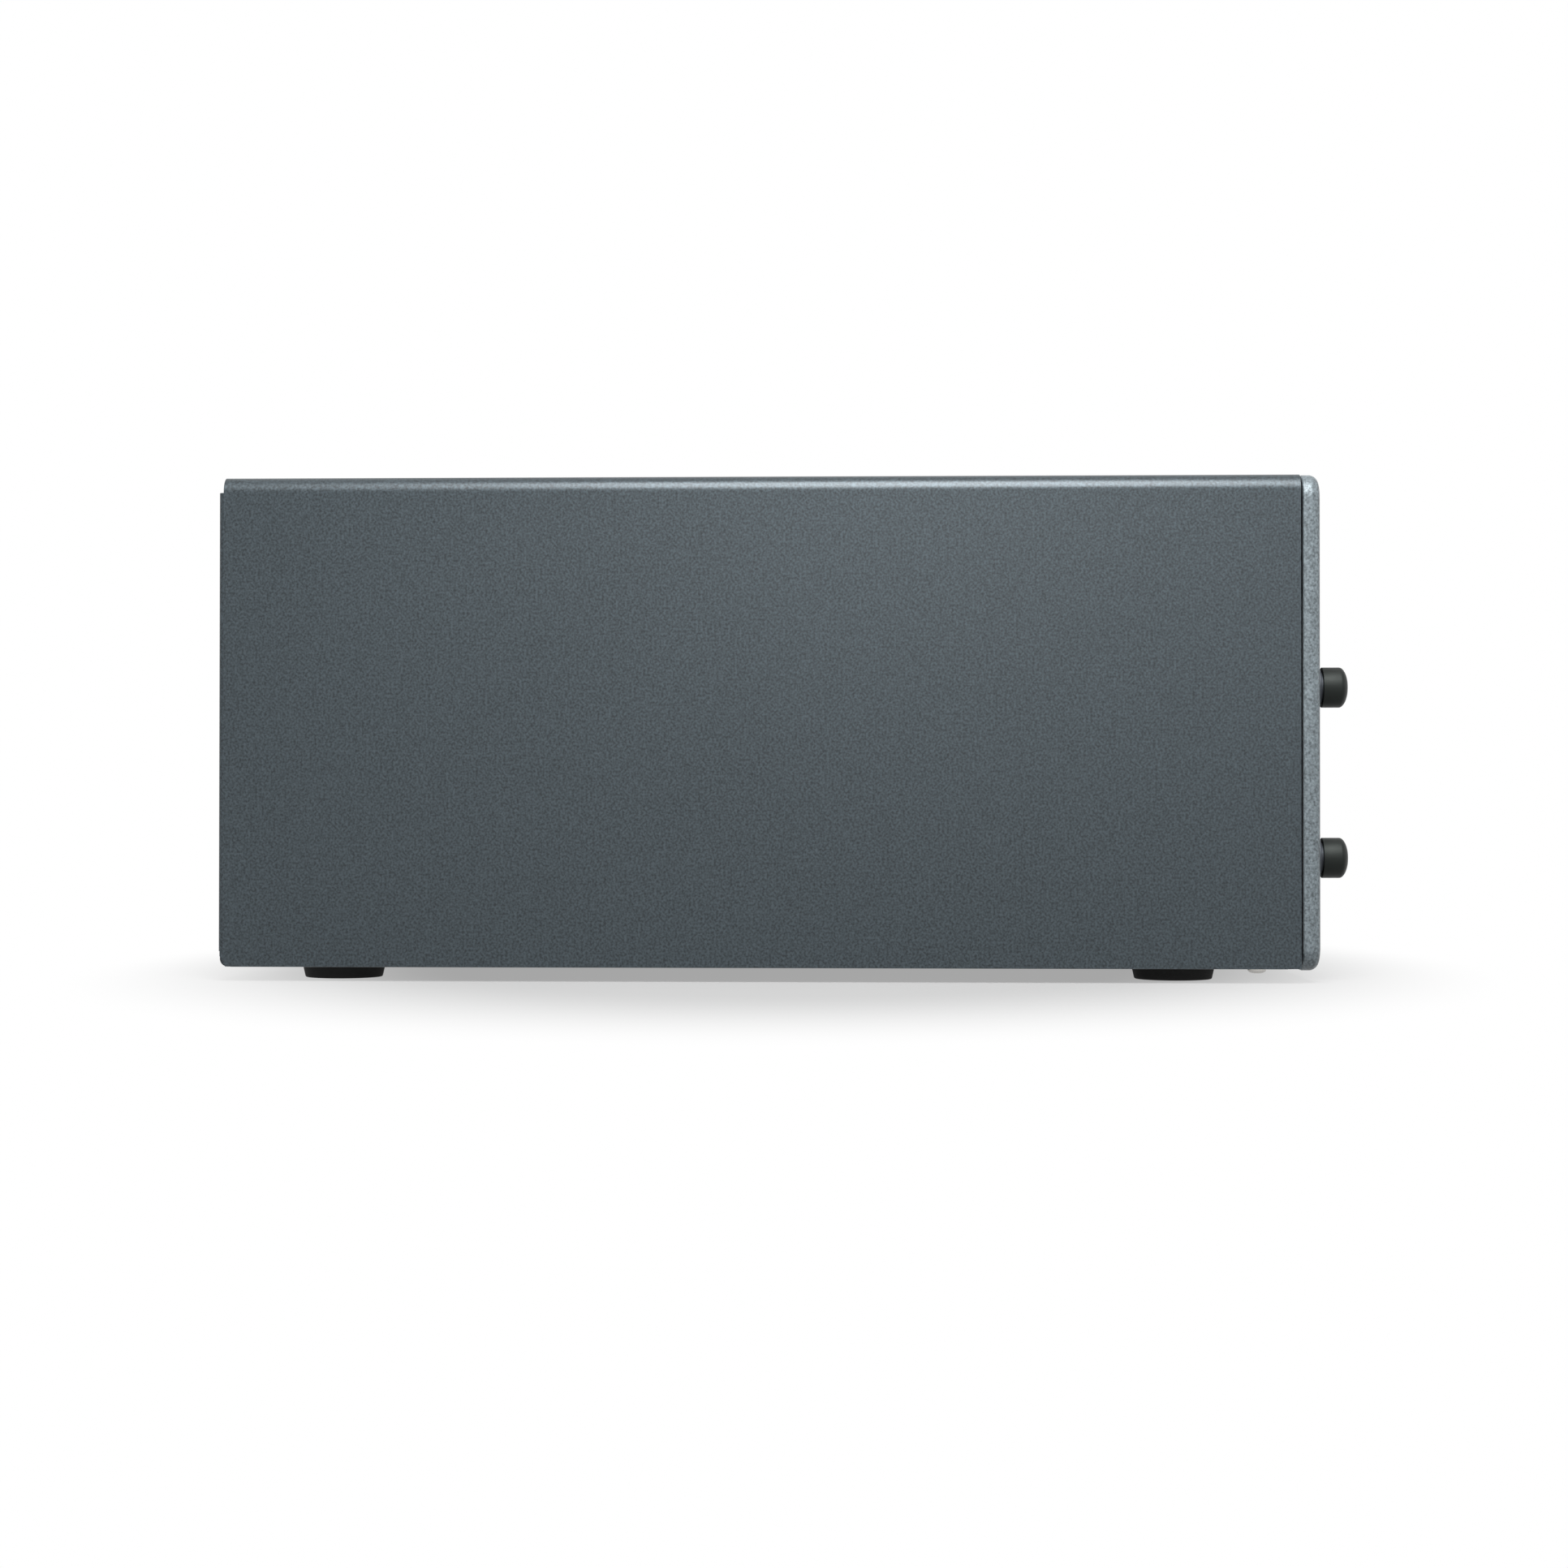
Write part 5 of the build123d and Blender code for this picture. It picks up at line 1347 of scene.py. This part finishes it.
@dataclass
class Sled:
    """One drive on its pull-out sled, with the thumbscrews that hold it."""

    level: str
    slot_width: float = 105.5
    vents: int = 9
    door_ribs: int = 3
    ferrule: float = 6.0
    knob: float = 6.0
    knob_dome: float = 2.6
    knob_flat: float = 3.0
    knob_end: float = 0.4
    knob_skirt: float = 0.7
    skirt_bore: float = 4.9
    lid_screw: Point = (5.1, 2.3)

    def build(self) -> None:
        """Makes every visible piece of the sled and its drive."""
        self.front()
        self.ferrules()
        for side in SIDES:
            self.thumbscrew(side)
        self.drive_front()
        self.door()
        self.eject_button()
        self.lid()

    def _node(self, name: str) -> str:
        """The full name of this sled's node."""
        return f"{self.level}_{name}"

    @property
    def body(self) -> str:
        """The body that the sled's own pieces ride on."""
        return f"{self.level}_sled"

    def front(self) -> None:
        """Makes the painted front plate with the opening for the drive."""
        low, high = corners(self._node("sled_front"))
        drive_low, drive_high = corners(self._node("drive_bezel"))
        middle = (low.z + high.z) / 2
        width, height = drive_high.x - drive_low.x + 0.6, drive_high.z - drive_low.z + 0.6
        holes: list[Outline] = [Rounded(0.0, middle, width, height, 1.0)]
        for side in SIDES:
            centre = self._knob_centre(side)
            holes.append(Disc(*centre, 3.55, 24))
        stock = Stock(self._node("front_panel"), Paint.BEZEL)
        outline = Rounded(0.0, middle, high.x - low.x, high.z - low.z, 0.6)
        stock.slab(Facing.FRONT, outline, low.y, high.y, 0.3, holes)
        stock.piece(self.body, [self._node("sled_front")])

    def _knob_centre(self, side: str) -> Point:
        """Where a thumbscrew's axis is."""
        axis = hinge(f"{self.level}_{side}_screw_turn")
        return (axis.x, axis.z)

    def ferrules(self) -> None:
        """Makes the collars that the thumbscrews turn in."""
        low, high = corners(self._node("thumbscrew_ferrules"))
        face = corners(self._node("sled_front"))[0].y
        stock = Stock(self._node("collars"), Paint.COLLAR)
        outer = self.ferrule
        step = low.y + self.knob_skirt + 0.05
        profile = [
            (low.y, 2.35), (low.y, self.skirt_bore - 0.4), (step, self.skirt_bore - 0.4), (step, outer - 0.2),
            (step + 0.2, outer), (face - 0.25, outer), (face, outer - 0.2), (face, 3.5),
            (high.y - 0.4, 3.5), (high.y, 3.25), (high.y, 2.35),
        ]
        for side in SIDES:
            stock.turned(Facing.FRONT, self._knob_centre(side), profile, 64, ring=True)
        stock.piece(self.body, [self._node("thumbscrew_ferrules")])

    def thumbscrew(self, side: str) -> None:
        """Makes a thumbscrew: a smooth knob with a domed end, a cross recess and a thread.

        Args:
            side: which of the sled's two thumbscrews.
        """
        node = self._node(f"{side}_thumbscrew")
        low, high = corners(node)
        centre = self._knob_centre(side)
        back = corners(self._node(f"{side}_screw_clip"))[0].y - 0.05
        end = low.y + self.knob_end
        sections = [(end + self._dome(self.knob_flat), self.knob - self.knob_flat, 0.12)]
        for step in range(1, 12):
            turn = math.pi / 2 * step / 11
            radius = self.knob_flat + (self.knob - self.knob_flat) * math.sin(turn)
            sections.append((end + self._dome(radius), self.knob - radius, 0.0))
        seam, rim = back - 2.0, back + self.knob_skirt
        sections.append((seam, 0.0, 0.0))
        recess = CrossRecess(*centre, 1.75, 0.8)
        stock = Stock(self._node(f"{side}_knob"), Paint.BLACK_OXIDE)
        stock.plate(Facing.FRONT, Disc(*centre, self.knob, 72), sections, [recess])
        stock.rod(Facing.FRONT, centre, (end + 1.9, seam - 0.1), (2.6, 2.6), 24)
        skirt = [
            (seam, 0.0), (seam, self.knob), (rim - 0.1, self.knob), (rim, self.knob - 0.1),
            (rim, self.skirt_bore), (back, self.skirt_bore), (back, 0.0),
        ]
        stock.turned(Facing.FRONT, centre, skirt, 72)
        stock.use(Paint.PORT)
        thread_start = high.y - 5.2
        shank = [
            (back - 0.2, 0.0), (back - 0.2, 1.95), (thread_start - 0.6, 1.95), (thread_start, 1.6),
            (thread_start, 0.0),
        ]
        stock.turned(Facing.FRONT, centre, shank, 24)
        stock.thread(centre, thread_start, high.y, 1.98)
        stock.piece(node, [node])

    def _dome(self, radius: float) -> float:
        """How far the knob's end has fallen back at a radius."""
        return self.knob_dome * (1.0 - math.sqrt(max(1.0 - (radius / self.knob) ** 2, 0.0)))

    def drive_front(self) -> None:
        """Makes the drive's bezel with its slot, vents, display window and status lights."""
        low, high = corners(self._node("drive_bezel"))
        middle = (low.z + high.z) / 2
        door_low, door_high = corners(self._node("cartridge_door"))
        slot_x = (door_low.x + door_high.x) / 2
        slot_low = low.z + 12.65
        button = self._button_centre()
        display = (high.x - 16.0, high.z - 12.65)
        holes: list[Outline] = [
            Rounded(slot_x, slot_low + 12.0, self.slot_width, 24.0, 0.8),
            Rounded(*button, 12.6, 5.6, 1.2),
            Rounded(*display, 22.0, 8.0, 1.6),
        ]
        for index in range(self.vents):
            across = low.x + 35.0 + (index - (self.vents - 1) / 2) * 6.5
            holes.append(Rounded(across, slot_low - 7.0, 3.0, 5.0, 1.3))
        sections = [
            (low.y, 0.7, 0.4), (low.y + 0.12, 0.35, 0.16), (low.y + 0.35, 0.12, 0.03),
            (low.y + 0.7, 0.0, 0.0), (high.y, 0.0, 0.0),
        ]
        stock = Stock(self._node("drive_face"), Paint.BLACK)
        outline = Rounded(0.0, middle, high.x - low.x, high.z - low.z, 1.2)
        stock.plate(Facing.FRONT, outline, sections, holes)
        stock.use(Paint.GLASS)
        stock.slab(Facing.FRONT, Rounded(*display, 21.9, 7.9, 1.5), low.y + 0.55, low.y + 2.0, 0.15)
        stock.use(Paint.LED)
        for index in range(3):
            place = (display[0] + (index - 1) * 5.0, display[1])
            stock.rod(Facing.FRONT, place, (low.y + 0.5, low.y + 0.9), (0.5, 0.7), 20)
        stock.piece(self.body, [self._node("drive_bezel")])

    def _button_centre(self) -> Point:
        """The middle of the eject button."""
        low, high = corners(self._node("eject_button"))
        return ((low.x + high.x) / 2, (low.z + high.z) / 2)

    def door(self) -> None:
        """Makes the cartridge door: a rolled top edge, three grip ribs and the hinge pins."""
        node = self._node("cartridge_door")
        low, high = corners(node)
        axis = hinge(f"{self.level}_door_swing")
        thick = high.y - low.y
        half = self.slot_width / 2 - 0.35
        section = []
        for step in range(9):
            angle = math.pi * step / 8
            section.append((axis.y + thick / 2 * math.cos(angle), axis.z + thick / 2 * math.sin(angle)))
        front, back = axis.y - thick / 2, axis.y + thick / 2
        bottom = low.z
        for rib in range(self.door_ribs):
            up = bottom + 9.6 - rib * 2.4
            section += [(front, up + 0.35), (front + 0.55, up), (front + 0.55, up - 1.0), (front, up - 1.35)]
        section += [(front, bottom + 0.4), (front + 0.4, bottom), (back - 0.4, bottom), (back, bottom + 0.4)]
        stock = Stock(self._node("door_flap"), Paint.BLACK)
        stock.plate(Facing.SIDE, Drawn(tuple(section)), [(axis.x - half, 0, 0), (axis.x + half, 0, 0)])
        pin = [
            (low.x, 0.0), (low.x, 0.6), (low.x + 0.1, 0.7),
            (high.x - 0.1, 0.7), (high.x, 0.6), (high.x, 0.0),
        ]
        stock.turned(Facing.SIDE, (axis.y, axis.z), pin, 20)
        stock.piece(node, [node], smooth=30.0)

    def eject_button(self) -> None:
        """Makes the eject button with its raised arrow and bar."""
        node = self._node("eject_button")
        low, high = corners(node)
        across, up = self._button_centre()
        lip_front = high.y - 1.6
        stock = Stock(self._node("eject_cap"), Paint.BUTTON)
        cap = Rounded(across, up, 12.0, 5.0, 1.0)
        sections = [(low.y + 0.1, 0.55, 0), (low.y + 0.22, 0.25, 0), (low.y + 0.5, 0.05, 0),
                    (low.y + 0.8, 0, 0), (lip_front + 0.01, 0, 0)]
        stock.plate(Facing.FRONT, cap, sections)
        lip = Rounded(across, up, high.x - low.x, high.z - low.z, 1.2)
        stock.slab(Facing.FRONT, lip, lip_front, high.y, 0.15)
        stock.use(Paint.MARK)
        left, right = across - 1.3, across + 1.3
        arrow = Drawn(((left, up - 0.25), (right, up - 0.25), (across, up + 1.25)))
        bar = Drawn(((left, up - 1.15), (right, up - 1.15), (right, up - 0.7), (left, up - 0.7)))
        for shape in (arrow, bar):
            stock.plate(Facing.FRONT, shape, [(low.y + 0.04, 0, 0), (low.y + 0.2, 0, 0)])
        stock.piece(node, [node])

    def lid(self) -> None:
        """Makes the drive's lid with two pressed fields, and its four screws."""
        low, high = corners(self._node("drive_lid"))
        screw_low, screw_high = corners(self._node("drive_screws"))
        inset, radius = self.lid_screw
        places = [
            (x, y) for x in (low.x + inset, high.x - inset) for y in (low.y + inset, high.y - inset)
        ]
        middle_y = (low.y + high.y) / 2
        stock = Stock(self._node("lid_sheet"), Paint.ZINC)
        outline = Rounded(0.0, middle_y, high.x - low.x, high.y - low.y, 1.5)
        stock.slab(Facing.TOP, outline, low.z, high.z, 0.2, [Disc(*place, 1.5, 20) for place in places])
        for y in (middle_y - 48.0, middle_y + 48.0):
            field_shape = Rounded(0.0, y, 112.0, 78.0, 8.0)
            sections = [(high.z - 0.1, -0.6, 0), (high.z + 0.05, -0.3, 0), (high.z + 0.35, 0.5, 0),
                        (high.z + 0.5, 1.1, 0)]
            stock.plate(Facing.TOP, field_shape, sections)
        stock.piece(self.body, [self._node("drive_lid")])
        screws = Stock(self._node("lid_screws"), Paint.SCREW)
        for place in places:
            screw_head(screws, Facing.TOP, place, high.z, screw_high.z, radius)
            screws.rod(Facing.TOP, place, (screw_low.z, high.z + 0.1), (1.1, 1.2), 20)
        screws.piece(self.body, [self._node("drive_screws")])


# CAD nodes that keep their shape


@dataclass
class KeptNodes:
    """The CAD nodes that stay as they are and only get their finish."""

    shared: dict[str, Paint] = field(default_factory=lambda: {
        "bottom_pan": Paint.CASE,
        "rear_panel": Paint.CASE,
        "drive_cage": Paint.ZINC,
        "sled_rails": Paint.ZINC,
        "backplane_board": Paint.BOARD,
        "backplane_sockets": Paint.BLACK,
        "power_supply": Paint.SUPPLY,
        "interface_board": Paint.BOARD,
        "interface_ports": Paint.PORT,
    })
    per_sled: dict[str, Paint] = field(default_factory=lambda: {
        "sled_tray": Paint.ZINC,
        "left_screw_clip": Paint.BLACK_OXIDE,
        "right_screw_clip": Paint.BLACK_OXIDE,
        "drive_base": Paint.CAST,
        "cartridge_carriage": Paint.ZINC,
        "supply_hub": Paint.HUB,
        "takeup_reel": Paint.HUB,
        "tape_guides": Paint.POLISHED,
        "head_carriage": Paint.CAST,
        "drive_board": Paint.BOARD,
        "load_motor": Paint.PORT,
    })

    def build(self) -> None:
        """Gives each kept node its finish."""
        for name, paint in self.shared.items():
            self._dress(name, paint)
        for level in LEVELS:
            for name, paint in self.per_sled.items():
                self._dress(f"{level}_{name}", paint)

    def _dress(self, name: str, paint: Paint) -> None:
        """Assigns a finish to all of a node's material slots."""
        node = frame["nodes"][name]
        if not node.material_slots:
            node.data.materials.append(paint.material())
        for slot in node.material_slots:
            slot.link = "OBJECT"
            slot.material = paint.material()
        LOG.info("%s keeps its CAD shape", name)


# The studio


@dataclass(frozen=True)
class Lamp:
    """A soft area lamp."""

    name: str
    place: Section
    target: Section
    size: Point
    power: float
    tint: Colour = (1.0, 1.0, 1.0)

    def build(self) -> None:
        """Hangs the lamp and points it at its target."""
        data = bpy.data.lights.new(self.name, "AREA")
        data.shape = "RECTANGLE"
        data.size, data.size_y = self.size
        data.energy = self.power
        data.color = self.tint
        lamp = bpy.data.objects.new(self.name, data)
        lamp.location = self.place
        towards = Vector(self.target) - Vector(self.place)
        lamp.rotation_mode = "QUATERNION"
        lamp.rotation_quaternion = towards.to_track_quat("-Z", "Y")
        bpy.context.scene.collection.objects.link(lamp)


@dataclass
class Studio:
    """The floor, the light and the camera."""

    camera_place: Section = (-0.926, -0.0313, 0.0499)
    yaw: float = 2.069
    pitch: float = 0.605
    roll: float = 0.029
    lens: float = 63.82
    ambient: float = 0.34
    # Painted shadow: lightest_shadow, floor_tone and the two fields after them paint a grey halo on the floor
    # round the object, on top of its real shadow.
    lightest_shadow: float = 0.38
    floor_tone: float = 0.22
    painted_shadow_radius: Point = (0.10, 0.21)
    painted_shadow_stretch: Section = (0.62, 0.92, 0.0)
    floor_reach: float = 12.0
    floor_drop: float = 0.00005
    lamps: tuple[Lamp, ...] = (
        Lamp("overhead_softbox", (-0.722, -0.06, 0.938), (-0.106, -0.02, 0.15), (0.50, 0.80), 27.0),
        Lamp("side_softbox", (-1.5, -0.08, 0.42), (-0.10, 0.0, 0.10), (0.44, 0.32), 1.6),
        Lamp("rear_softbox", (0.55, 1.20, 0.75), (0.0, 0.10, 0.06), (0.9, 0.7), 6.0),
        Lamp("front_softbox", (-0.35, -1.4, 0.55), (0.0, -0.1, 0.08), (0.7, 0.7), 2.6),
    )

    def build(self) -> None:
        """Sets up the studio."""
        self._world()
        self._floor()
        for lamp in self.lamps:
            lamp.build()
        self._camera()
        bpy.context.scene.view_settings.view_transform = "Standard"

    def _world(self) -> None:
        """White where it is seen or mirrored, and gentler where it lights."""
        world = bpy.data.worlds.new("studio_room")
        bpy.context.scene.world = world
        graph = Graph(world)
        shades: dict[int, Any] = {0: graph.viewed()}
        for socket, strength in ((1, self.ambient), (2, 1.0)):
            light = {"Color": (1.0, 1.0, 1.0), "Strength": strength}
            shades[socket] = graph.node("ShaderNodeBackground", None, light).outputs[0]
        mix = graph.node("ShaderNodeMixShader", None, shades)
        graph.node("ShaderNodeOutputWorld", None, {"Surface": mix.outputs[0]})

    def _floor(self) -> None:
        """A wide floor that keeps the object's real shadow and also has a painted shadow round the object:
        grey near it, plain white away from it.
        """
        mesh = bpy.data.meshes.new("studio_floor")
        reach = self.floor_reach
        signs = ((-1, -1), (1, -1), (1, 1), (-1, 1))
        spots = [(u * reach, v * reach, -self.floor_drop) for u, v in signs]
        mesh.from_pydata(spots, [], [(0, 1, 2, 3)])
        mesh.materials.append(self._floor_paint())
        floor = bpy.data.objects.new("studio_floor", mesh)
        bpy.context.scene.collection.objects.link(floor)

    def _floor_paint(self) -> bpy.types.Material:
        """Makes the floor's paint: a matt grey near the object that holds a painted shadow round it, which
        turns plain white away from the object.
        """
        recipe = Recipe("studio_floor_painted_shadow")
        haze = recipe.noise(400.0, 1.0)
        # The floor's grey paint, which shows only inside the painted shadow round the object.
        recipe.surface(
            Base_Color=recipe.blend(haze * 0.05, (self.floor_tone,) * 3, (self.floor_tone - 0.02,) * 3),
            Roughness=1.0,
            Specular_IOR_Level=0.0,
        )
        # Painted shadow: the white share grows with the distance from the object, so the floor stays grey
        # near it whatever light falls there.
        where = recipe.place(self.painted_shadow_stretch)
        reach = recipe.node("ShaderNodeVectorMath", {"operation": "LENGTH"}, {0: where})
        away = Flow(recipe, reach.outputs["Value"]).between(*self.painted_shadow_radius)
        away = away * away * (3.0 - 2.0 * away)
        share = self.lightest_shadow + (1.0 - self.lightest_shadow) * away
        share = share * recipe.viewed()
        white = {"Color": (1.0, 1.0, 1.0), "Strength": 1.0}
        glow = recipe.node("ShaderNodeEmission", None, white)
        mixed = {0: share, 1: recipe.shader.outputs[0], 2: glow.outputs[0]}
        mix = recipe.node("ShaderNodeMixShader", None, mixed)
        recipe.feed(recipe.output, {"Surface": mix.outputs[0]})
        return recipe.material

    def _camera(self) -> None:
        """Puts the camera where the photograph was taken from."""
        data = bpy.data.cameras.new("photo_camera")
        data.sensor_width = 36.0
        data.lens = self.lens
        data.clip_start, data.clip_end = 0.01, 50.0
        yaw, pitch, roll = (math.radians(value) for value in (self.yaw, self.pitch, self.roll))
        forward = Vector((
            math.cos(pitch) * math.cos(yaw), math.cos(pitch) * math.sin(yaw), math.sin(pitch)
        ))
        level = Vector((math.sin(yaw), -math.cos(yaw), 0.0))
        above = level.cross(forward)
        right = level * math.cos(roll) + above * math.sin(roll)
        up = above * math.cos(roll) - level * math.sin(roll)
        turn = Matrix((right, up, -forward)).transposed()
        camera = bpy.data.objects.new("photo_camera", data)
        camera.matrix_world = Matrix.Translation(self.camera_place) @ turn.to_4x4()
        bpy.context.scene.collection.objects.link(camera)
        bpy.context.scene.camera = camera


def main() -> None:
    """Builds the looks in order: the kept nodes, the enclosure, the drives and the studio."""
    logging.basicConfig(level=logging.INFO, format="%(name)s: %(message)s")
    builders: list[Any] = [KeptNodes(), Enclosure(), PowerSwitch()]
    builders += [FanRotor(side) for side in SIDES]
    builders += [Sled(level) for level in LEVELS]
    builders.append(Studio())
    for builder in builders:
        builder.build()


if __name__ == "__main__":
    main()
